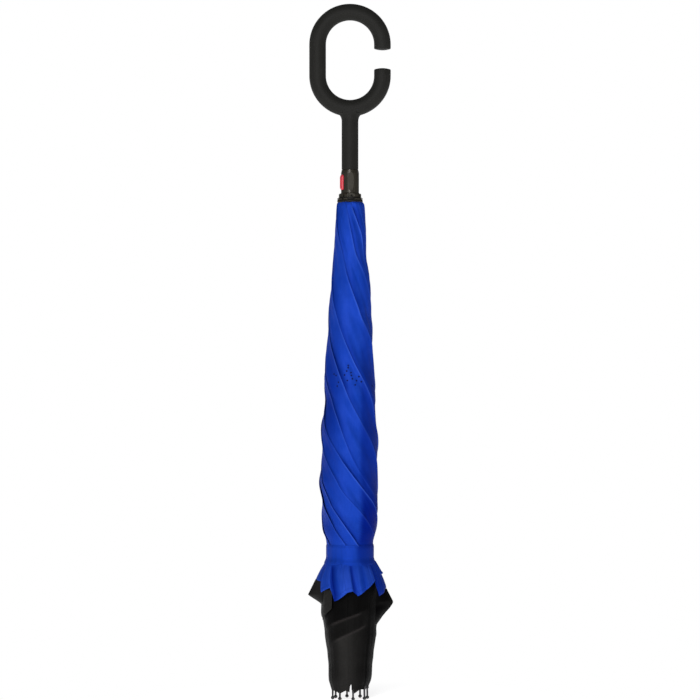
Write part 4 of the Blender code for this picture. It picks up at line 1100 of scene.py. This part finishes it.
def make_bundle_gore(number, finish):
    """One gore of the black layer, from under the skirt down to its hem at the rib tips."""

    def column_at(turn, drop):
        z = between(LINING_TOP_Z, bundle_hem_z(turn), drop)
        radius, light, deep = lining_radius(turn, z)
        return round_the_shaft(turn, radius, z), (turn * ROLL_RADIUS, z), light, deep, drop**14

    start = rib_turn(number) - GORE_TURN / 2 + SPIRAL_TURN
    turns = [start + GORE_TURN * column / BUNDLE_COLUMNS for column in range(BUNDLE_COLUMNS + 1)]
    rows = sheet_rows(BUNDLE_ROWS, turns, column_at)
    make_cloth(f"black_bundle_{number + 1}", rows, number, "black", finish)


def make_flap(finish):
    """A loose flap of the black layer beside its left corner, hanging over the bundle."""

    def column_at(side, down):
        place = []
        for upper_left, upper_right, lower_right, lower_left in zip(*FLAP_SHARES):
            upper = between(upper_left, upper_right, side)
            place.append(between(upper, between(lower_left, lower_right, side), down))
        turn, z = place[0] * math.tau, place[1] * BUNDLE_TOP_Z
        radius = lining_radius(turn, z)[0] + FLAP_LIFT * (0.6 + down * 1.2 + side * 0.6)
        hem, flare = hem_over(turn)
        if z > hem - LINING_GAP:
            radius = min(radius, skirt_radius(turn, z, flare) - LINING_GAP / 2)
        return round_the_shaft(turn, radius, z), (turn * ROLL_RADIUS, z), 0, 0, down**6

    sides = [column / FLAP_STEPS for column in range(FLAP_STEPS + 1)]
    make_cloth("black_flap", sheet_rows(FLAP_STEPS, sides, column_at), FLAP_GORE, "black", finish)


# Handle


def grip_path():
    """The C's centre line from its upper end round to its lower end, as (x, z, direction)."""
    stations = [(GRIP_BEND_RADIUS, GRIP_HIGH_CENTRE_Z - GRIP_UPPER_END, math.pi / 2)]
    for centre, start in ((GRIP_HIGH_CENTRE_Z, 0), (GRIP_LOW_CENTRE_Z, math.pi)):
        for step in range(GRIP_BEND_STEPS + 1):
            turn = start + math.pi * step / GRIP_BEND_STEPS
            x = GRIP_BEND_RADIUS * math.cos(turn)
            stations.append((x, centre + GRIP_BEND_RADIUS * math.sin(turn), turn + math.pi / 2))
    stations.append((GRIP_BEND_RADIUS, GRIP_LOW_CENTRE_Z + GRIP_LOWER_END, math.pi / 2))
    return stations


def grip_ring(station, radius, ahead):
    """A ring of the tube, square to the centre line."""
    x, z, direction = station
    forward = Vector((math.cos(direction), 0, math.sin(direction)))
    outward = Vector((math.sin(direction), 0, -math.cos(direction)))
    centre = Vector((x, 0, z)) + forward * ahead
    return [centre + outward * radius * math.cos(turn) + Vector((0, radius * math.sin(turn), 0))
            for turn in turns_round(GRIP_SIDES)]


def closed_tube(name, rings):
    """A closed body over rings of points."""
    bm = bmesh.new()
    loops = [[bm.verts.new(point) for point in ring] for ring in rings]
    count = len(loops[0])
    for low, high in zip(loops, loops[1:]):
        for k in range(count):
            after = (k + 1) % count
            bm.faces.new((low[k], low[after], high[after], high[k]))
    bm.faces.new(loops[0])
    bm.faces.new(loops[-1])
    bmesh.ops.recalc_face_normals(bm, faces=bm.faces)
    mesh = bpy.data.meshes.new(name)
    bm.to_mesh(mesh)
    bm.free()
    mesh.shade_smooth()
    return mesh


def dome_steps():
    """A grip end's rings as (share of its radius, share of its dome's height), from the middle outwards."""
    steps = []
    for step in range(1, GRIP_DOME_STEPS + 1):
        turn = math.pi / 2 * step / GRIP_DOME_STEPS
        steps.append((math.sin(turn) * GRIP_EDGE_SHARE, 1 - 0.55 * math.sin(turn) ** 2))
    steps.append((GRIP_EDGE_SHARE + (1 - GRIP_EDGE_SHARE) * 0.7, 0.28))
    steps.append((1, 0))
    return steps


def make_handle(finish):
    """The C grip on its stem, smooth and with softly domed ends."""
    path = grip_path()
    rings = []
    for size, height in dome_steps():
        rings.append(grip_ring(path[0], GRIP_RADIUS * size, GRIP_DOME * (1 - height)))
    rings.extend(grip_ring(station, GRIP_RADIUS, 0) for station in path[1:-1])
    for size, height in reversed(dome_steps()):
        rings.append(grip_ring(path[-1], GRIP_RADIUS * size, -GRIP_DOME * (1 - height)))
    handle = mesh_object("handle_grip", closed_tube("handle_grip", rings), finish)
    stem = mesh_object("stem_tool", stem_mesh(), finish)
    join(handle, stem, "UNION")
    bore = mesh_object("bore_tool", bore_mesh(), finish)
    join(handle, bore, "DIFFERENCE")
    handle.data.shade_smooth()
    handle.data.set_sharp_from_angle(angle=SHARP_TURN)
    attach(handle, "frame")
    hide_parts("handle")


def join(target, tool, operation):
    """Joins a tool to the target or cuts it out, as part of the target's mesh."""
    step = target.modifiers.new("join", "BOOLEAN")
    step.operation = operation
    step.solver = "EXACT"
    step.object = tool
    apply_steps(target)
    bpy.data.objects.remove(tool)


def stem_mesh():
    """The straight stem, which widens into the C along the C's own direction."""
    rings = []
    edge = GRIP_RADIUS * STEM_EDGE_SHARE
    start = STEM_TOP_Z - FILLET_HEIGHT * 0.6
    levels = [(STEM_FOOT_Z, -edge), (STEM_FOOT_Z + edge, 0)]
    for step in range(FILLET_STEPS + 1):
        turn = math.pi / 2 * step / FILLET_STEPS
        levels.append((start + FILLET_HEIGHT * math.sin(turn), FILLET_REACH * (1 - math.cos(turn))))
    levels.append((STEM_TOP_Z + GRIP_RADIUS, 0))
    for z, reach in levels:
        half_y = GRIP_RADIUS * STEM_FLATNESS_SHARE if reach > 0 else GRIP_RADIUS + reach
        half_x = GRIP_RADIUS + reach
        turns = turns_round(GRIP_SIDES)
        rings.append([Vector((half_x * math.cos(turn), half_y * math.sin(turn), z)) for turn in turns])
    return closed_tube("stem", rings)


def bore_mesh():
    """The bore that the shaft is fixed in."""
    rings = []
    for z in (STEM_FOOT_Z - BORE_RADIUS, STEM_FOOT_Z + BORE_DEPTH):
        rings.append([round_the_shaft(turn, BORE_RADIUS, z) for turn in turns_round(GRIP_SIDES)])
    return closed_tube("bore", rings)


# Strap


def strap_radius(turn, z):
    """The strap's inner radius: drawn in, with soft dents, and pulled out at its lower edge by the skirt."""
    low = 1 - ease((z - STRAP_Z) / (STRAP_TOP_Z - STRAP_Z) * 2.6)
    dents = rough(turn * 5.5, z / SLACK_RUN, 9) * STRAP_WAVE * 0.6
    return STRAP_INNER + STRAP_FLARE * low + dents


def make_strap(finish):
    """The tie strap, drawn round the roll and slightly uneven. It stands for its fastened end too."""
    rows, cloth, darks = [], [], []
    for turn in (*turns_round(STRAP_STEPS), math.tau):
        sway = STRAP_WAVE * rough(math.cos(turn) * 1.6, math.sin(turn) * 1.6, 2)
        outside, inside = [], []
        for level in range(STRAP_LEVELS + 1):
            up = between(0, STRAP_TOP_Z - STRAP_Z, level / STRAP_LEVELS)
            z = STRAP_Z + up
            radius = strap_radius(turn, z)
            full = STRAP_THICKNESS if 0 < level < STRAP_LEVELS else STRAP_EDGE_ROUND
            outside.append((radius + full, z + sway, up))
            inside.append((radius, z + sway, up))
        ring = outside + inside[::-1]
        rows.append([round_the_shaft(turn, radius, z) for radius, z, up in ring])
        cloth.append([(turn * STRAP_INNER, up) for radius, z, up in ring])
        # Painted shade of the roll's lee and flank, carried onto the strap.
        darks.append([lee_shade(turn, z) for radius, z, up in ring])
    mesh = grid_mesh("tie_strap", rows, cloth, {"painted_shade": darks}, closed=True)
    strap = mesh_object("tie_strap", mesh, finish)
    mesh.set_sharp_from_angle(angle=SHARP_TURN)
    fit_to_gore(strap, STRAP_GORE, "blue", "strap", "strap_tab")


def make_binding(finish):
    """The black tape that binds the blue cloth's top to the runner, over its notch."""
    rows, cloth = [], []
    turns = [*turns_round(STRAP_STEPS), math.tau]
    for level in range(BINDING_LEVELS + 1):
        up = level / BINDING_LEVELS
        radius = BINDING_RADIUS * softly_along(BINDING_SHARES, up)
        z = between(BINDING_FOOT_Z, BINDING_TOP_Z, up)
        rows.append([round_the_shaft(turn, radius, z) for turn in turns])
        cloth.append([(turn * BINDING_RADIUS, z) for turn in turns])
    mesh = grid_mesh("top_binding", rows, cloth)
    piece = thickened(mesh_object("top_binding", mesh, finish), CLOTH_THICKNESS)
    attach(piece, "runner")
    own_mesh(piece)
    flat_size(rows)


# Open canopy


def open_place(radius_at_pivot, pivot_z, slope, at, offset, turn):
    """A point on the open canopy's cone: a distance along a rib or strut, and an offset square to it."""
    radius = radius_at_pivot + at * math.cos(slope) - offset * math.sin(slope)
    z = pivot_z + at * math.sin(slope) + offset * math.cos(slope)
    return round_the_shaft(turn, radius, z)


def stack_share(weight):
    """The share of the stack at which a card lies, so that it turns by its weight: ease() read backwards."""
    return 0.5 - math.sin(math.asin(1 - 2 * weight) / 3)


def fan_mesh(name, first, cards, closed_from_open, place_at, stations, hem):
    """Narrow cards, cut to reach the next rib of the open canopy, laid stacked beside a rib as when closed.

    Gives the foot of the stack and the way that it rises too.
    """
    step = GORE_TURN / cards
    middle = first + step / 2
    far, near = place_at(stations[1], middle), place_at(stations[0], middle)
    side = place_at(stations[1], middle + step) - place_at(stations[1], middle - step)
    square = (closed_from_open.to_3x3() @ (far - near).cross(side).normalized()).normalized()
    if square.dot(round_the_shaft(first, 1, 0)) < 0:
        square.negate()
    levels = [between(*stations, share) for share in FAN_LEVEL_SHARES]
    points, faces, cloth = [], [], []
    for card in range(cards):
        lift = square * (STACK_DEPTH * stack_share(card / (cards - 1)))
        start = len(points)
        for level, at in enumerate(levels):
            for edge in (0, 1):
                turn_share = (card + edge) / cards
                dip = hem * 4 * turn_share * (1 - turn_share) if level == len(levels) - 1 else 0
                reach = at - dip
                widen = CARD_OVERLAP * (1 if edge else -1) / max(reach, CARD_LEAST_REACH)
                points.append(closed_from_open @ place_at(reach, first + step * edge + widen) + lift)
                cloth.append(((turn_share - 0.5) * GORE_TURN * reach, reach))
        faces.extend((k, k + 2, k + 3, k + 1) for k in range(start, len(points) - 2, 2))
    mesh = plain_mesh(name, points, faces)
    lay_cloth(mesh, cloth)
    for mark in ("fold", "painted_shade", "hem"):
        mesh.attributes.new(mark, "FLOAT", "POINT")
    return mesh, closed_from_open @ near, square


def opened_arm(arm, number, travel):
    """How a rib or strut stands in the open umbrella.

    Gives what takes it from open to closed, its pivot's distance from the shaft and height, and its slope.
    """
    hinge = JOINTS[f"{arm}_hinge_{number + 1}"]
    swing = RATIOS[f"{arm}_hinge_{number + 1}"] * travel
    slide = travel if arm == "rib" else 0
    slope = swing + RIB_LEAN - math.pi / 2 if arm == "rib" else math.pi / 2 - swing - STRUT_LEAN
    pivot = Matrix.Translation(hinge["pos_m"])
    opened = Matrix.Translation((0, 0, -slide)) @ pivot @ Matrix.Rotation(swing, 4, Vector(hinge["axis"]))
    x, y, z = hinge["pos_m"]
    return (opened @ pivot.inverted()).inverted(), math.hypot(x, y), z - slide, slope


def make_fans(blue, black):
    """The stretches of both layers between the ribs and struts of the open umbrella, laid stacked as when closed.
    """
    travel = JOINTS["runner_slide"]["range_m"][1]
    kinds = (
        ("blue", "blue", "rib", "gore", BLUE_OFFSET, BLUE_CARDS, BLUE_START, BLUE_HEM, BLUE_HEM_DIP),
        ("black", "black", "rib", "gore", BLACK_OFFSET, BLACK_CARDS, BLACK_START, BLACK_HEM, BLACK_HEM_DIP),
        ("cover", "black", "strut", "cover", COVER_OFFSET, COVER_CARDS, COVER_START, COVER_END, 0),
    )
    for number in range(GORES):
        for kind, layer, arm, fold, offset, cards, start, end, dip in kinds:
            closed_from_open, radius, z, slope = opened_arm(arm, number, travel)

            def place_at(at, turn, radius=radius, z=z, slope=slope, offset=offset):
                return open_place(radius, z, slope, at, offset, turn)

            name = f"{kind}_fan_{number + 1}"
            first = rib_turn(number)
            stations = (start, end)
            mesh, base, square = fan_mesh(name, first, cards, closed_from_open, place_at, stations, dip)
            piece = mesh_object(name, mesh, blue if layer == "blue" else black)
            top = base + square * STACK_DEPTH
            body = f"{fold}_fold_{number + 1}"
            tuple(base)
            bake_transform(piece)
            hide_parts(body)


# Studio


def put_aimed(name, data, place):
    """Puts a lamp or camera in the scene, turned towards the umbrella's middle."""
    made = put_in_scene(name, data)
    made.location = place
    way = Vector((0, 0, CAMERA_CENTRE_Z)) - made.location
    made.rotation_euler = way.to_track_quat("-Z", "Y").to_euler()
    return made


def add_lamp(name, place, width, height, power):
    """A soft rectangular lamp aimed at the umbrella's middle."""
    lamp = bpy.data.lights.new(name, "AREA")
    lamp.shape = "RECTANGLE"
    lamp.size = width
    lamp.size_y = height
    lamp.energy = power
    put_aimed(name, lamp, place)


def make_camera():
    """The camera at the photograph's height, far off, so that it sees the umbrella square on."""
    camera = bpy.data.cameras.new("camera")
    camera.sensor_width = SENSOR_MM
    camera.lens = CAMERA_LENS_MM
    place = (0, -CAMERA_WIDTH * CAMERA_LENS_MM / SENSOR_MM, CAMERA_CENTRE_Z)
    bpy.context.scene.camera = put_aimed("camera", camera, place)


def make_world():
    """Even room light, and a white backdrop for the camera."""
    world = bpy.data.worlds.new("room")
    bpy.context.scene.world = world
    world.use_nodes = True
    tree = world.node_tree
    tree.nodes.clear()
    room = tree.nodes.new("ShaderNodeBackground")
    room.inputs["Strength"].default_value = AMBIENT
    backdrop = tree.nodes.new("ShaderNodeBackground")
    path = tree.nodes.new("ShaderNodeLightPath")
    choice = tree.nodes.new("ShaderNodeMixShader")
    output = tree.nodes.new("ShaderNodeOutputWorld")
    for node in (room, backdrop):
        node.inputs["Color"].default_value = opaque(1, 1, 1)
    tree.links.new(path.outputs["Is Camera Ray"], choice.inputs["Fac"])
    tree.links.new(room.outputs[0], choice.inputs[1])
    tree.links.new(backdrop.outputs[0], choice.inputs[2])
    tree.links.new(choice.outputs[0], output.inputs["Surface"])


def floor_finish():
    """White floor that keeps the umbrella's shadow near it and turns plain white further out."""
    made = Shading("studio_floor")
    made.constant(base_color=opaque(0.9, 0.9, 0.9), roughness=0.9, specular_ior_level=0.0,
                  emission_color=opaque(1, 1, 1), emission_strength=FLOOR_GLOW)
    place = made.place()
    distance = made.node("VectorMath", {"operation": "LENGTH"}, {0: place}, output=1)
    far = ((distance - FLOOR_SHADOW_REACH) / FLOOR_FADE).maths("SMOOTH_MIN", 1.0, 0.1).maths("MAXIMUM", 0.0)
    seen = made.node("LightPath", output=0)
    white = made.node("Emission", values={"Color": opaque(1, 1, 1), "Strength": 1.0})
    matte = Signal(made, made.shader.outputs[0])
    mixed = made.node("MixShader", values={"Fac": far * seen, 1: matte, 2: white})
    output = made.tree.nodes["Material Output"]
    made.tree.links.new(mixed.socket, output.inputs["Surface"])
    return made.material


def make_floor():
    """The plain floor that the rib tips stand on."""
    reach = FLOOR_REACH
    corners = [(-reach, -reach, 0), (reach, -reach, 0), (reach, reach, 0), (-reach, reach, 0)]
    floor = mesh_object("floor", plain_mesh("floor", corners, [(0, 1, 2, 3)]), floor_finish())
    floor.location = (0, 0, -FLOOR_DROP)


def make_studio():
    """Camera, lamps, room light and floor."""
    make_camera()
    add_lamp("key_lamp", KEY_PLACE, KEY_WIDTH, KEY_HEIGHT, KEY_POWER)
    add_lamp("fill_lamp", FILL_PLACE, FILL_WIDTH, FILL_HEIGHT, FILL_POWER)
    add_lamp("back_lamp", BACK_PLACE, FILL_WIDTH, FILL_HEIGHT, BACK_POWER)
    make_world()
    make_floor()
    bpy.context.scene.view_settings.view_transform = "Standard"


def dress_frame(nodes):
    """Gives the carried-over solids their finishes."""
    gloss = gloss_plastic()
    red = red_plastic()
    rib = worn_metal("rib_enamel", (0.030, 0.030, 0.031), (0.085, 0.085, 0.088), 0.34, 0.75, 0.05)
    strut = worn_metal("strut_enamel", (0.060, 0.060, 0.062), (0.16, 0.16, 0.165), 0.3, 0.9, 0.05)
    steel = worn_metal("drawn_steel", (0.30, 0.30, 0.31), (0.52, 0.52, 0.53), 0.18, 1.0, 0.03)
    wire = worn_metal("wire_steel", (0.36, 0.36, 0.36), (0.58, 0.58, 0.58), 0.22, 1.0, 1.0)
    finishes = {"runner": gloss, "crown": gloss, "crown_cap": gloss, "button": red, "shaft": steel,
                "crown_wire": wire, "runner_wire": wire}
    for number in range(GORES):
        finishes[f"rib_{number + 1}"] = rib
        finishes[f"strut_{number + 1}"] = strut
    for name, finish in finishes.items():
        nodes[name].material_slots[0].material = finish


with open("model.json") as file:
    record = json.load(file)
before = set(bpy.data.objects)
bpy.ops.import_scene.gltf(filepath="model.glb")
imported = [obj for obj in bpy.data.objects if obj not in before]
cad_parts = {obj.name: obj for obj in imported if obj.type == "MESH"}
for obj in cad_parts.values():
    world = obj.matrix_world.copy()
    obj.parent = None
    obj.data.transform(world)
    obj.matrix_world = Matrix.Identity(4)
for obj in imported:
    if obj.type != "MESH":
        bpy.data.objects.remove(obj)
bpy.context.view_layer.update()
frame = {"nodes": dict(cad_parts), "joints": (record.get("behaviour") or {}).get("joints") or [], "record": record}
JOINTS = {joint["name"]: joint for joint in frame["joints"]}
RATIOS = {row["joint"]: row["ratio"] for row in frame["record"]["behaviour"]["couplings"]}

make_studio()
dress_frame(frame["nodes"])
blue_cloth = woven_cloth("blue_pongee", (0.002, 0.038, 0.38), (0.013, 0.062, 0.48), (0.055, 0.145, 0.70),
                         (0.0005, 0.011, 0.21), 0.45, 0.06, 0.22)
black_cloth = woven_cloth("black_pongee", (0.0110, 0.0104, 0.0098), (0.0220, 0.0210, 0.0200),
                          (0.036, 0.031, 0.031), (0.0012, 0.0012, 0.0013), 0.6, 0.14, 0.4)
make_handle(soft_touch())
for gore in range(GORES):
    make_roll_gore(gore, blue_cloth)
    make_skirt_gore(gore, blue_cloth)
    make_bundle_gore(gore, black_cloth)
make_flap(black_cloth)
make_strap(strap_webbing())
make_binding(black_cloth)
make_holes(hole_shadow())
make_fans(blue_cloth, black_cloth)
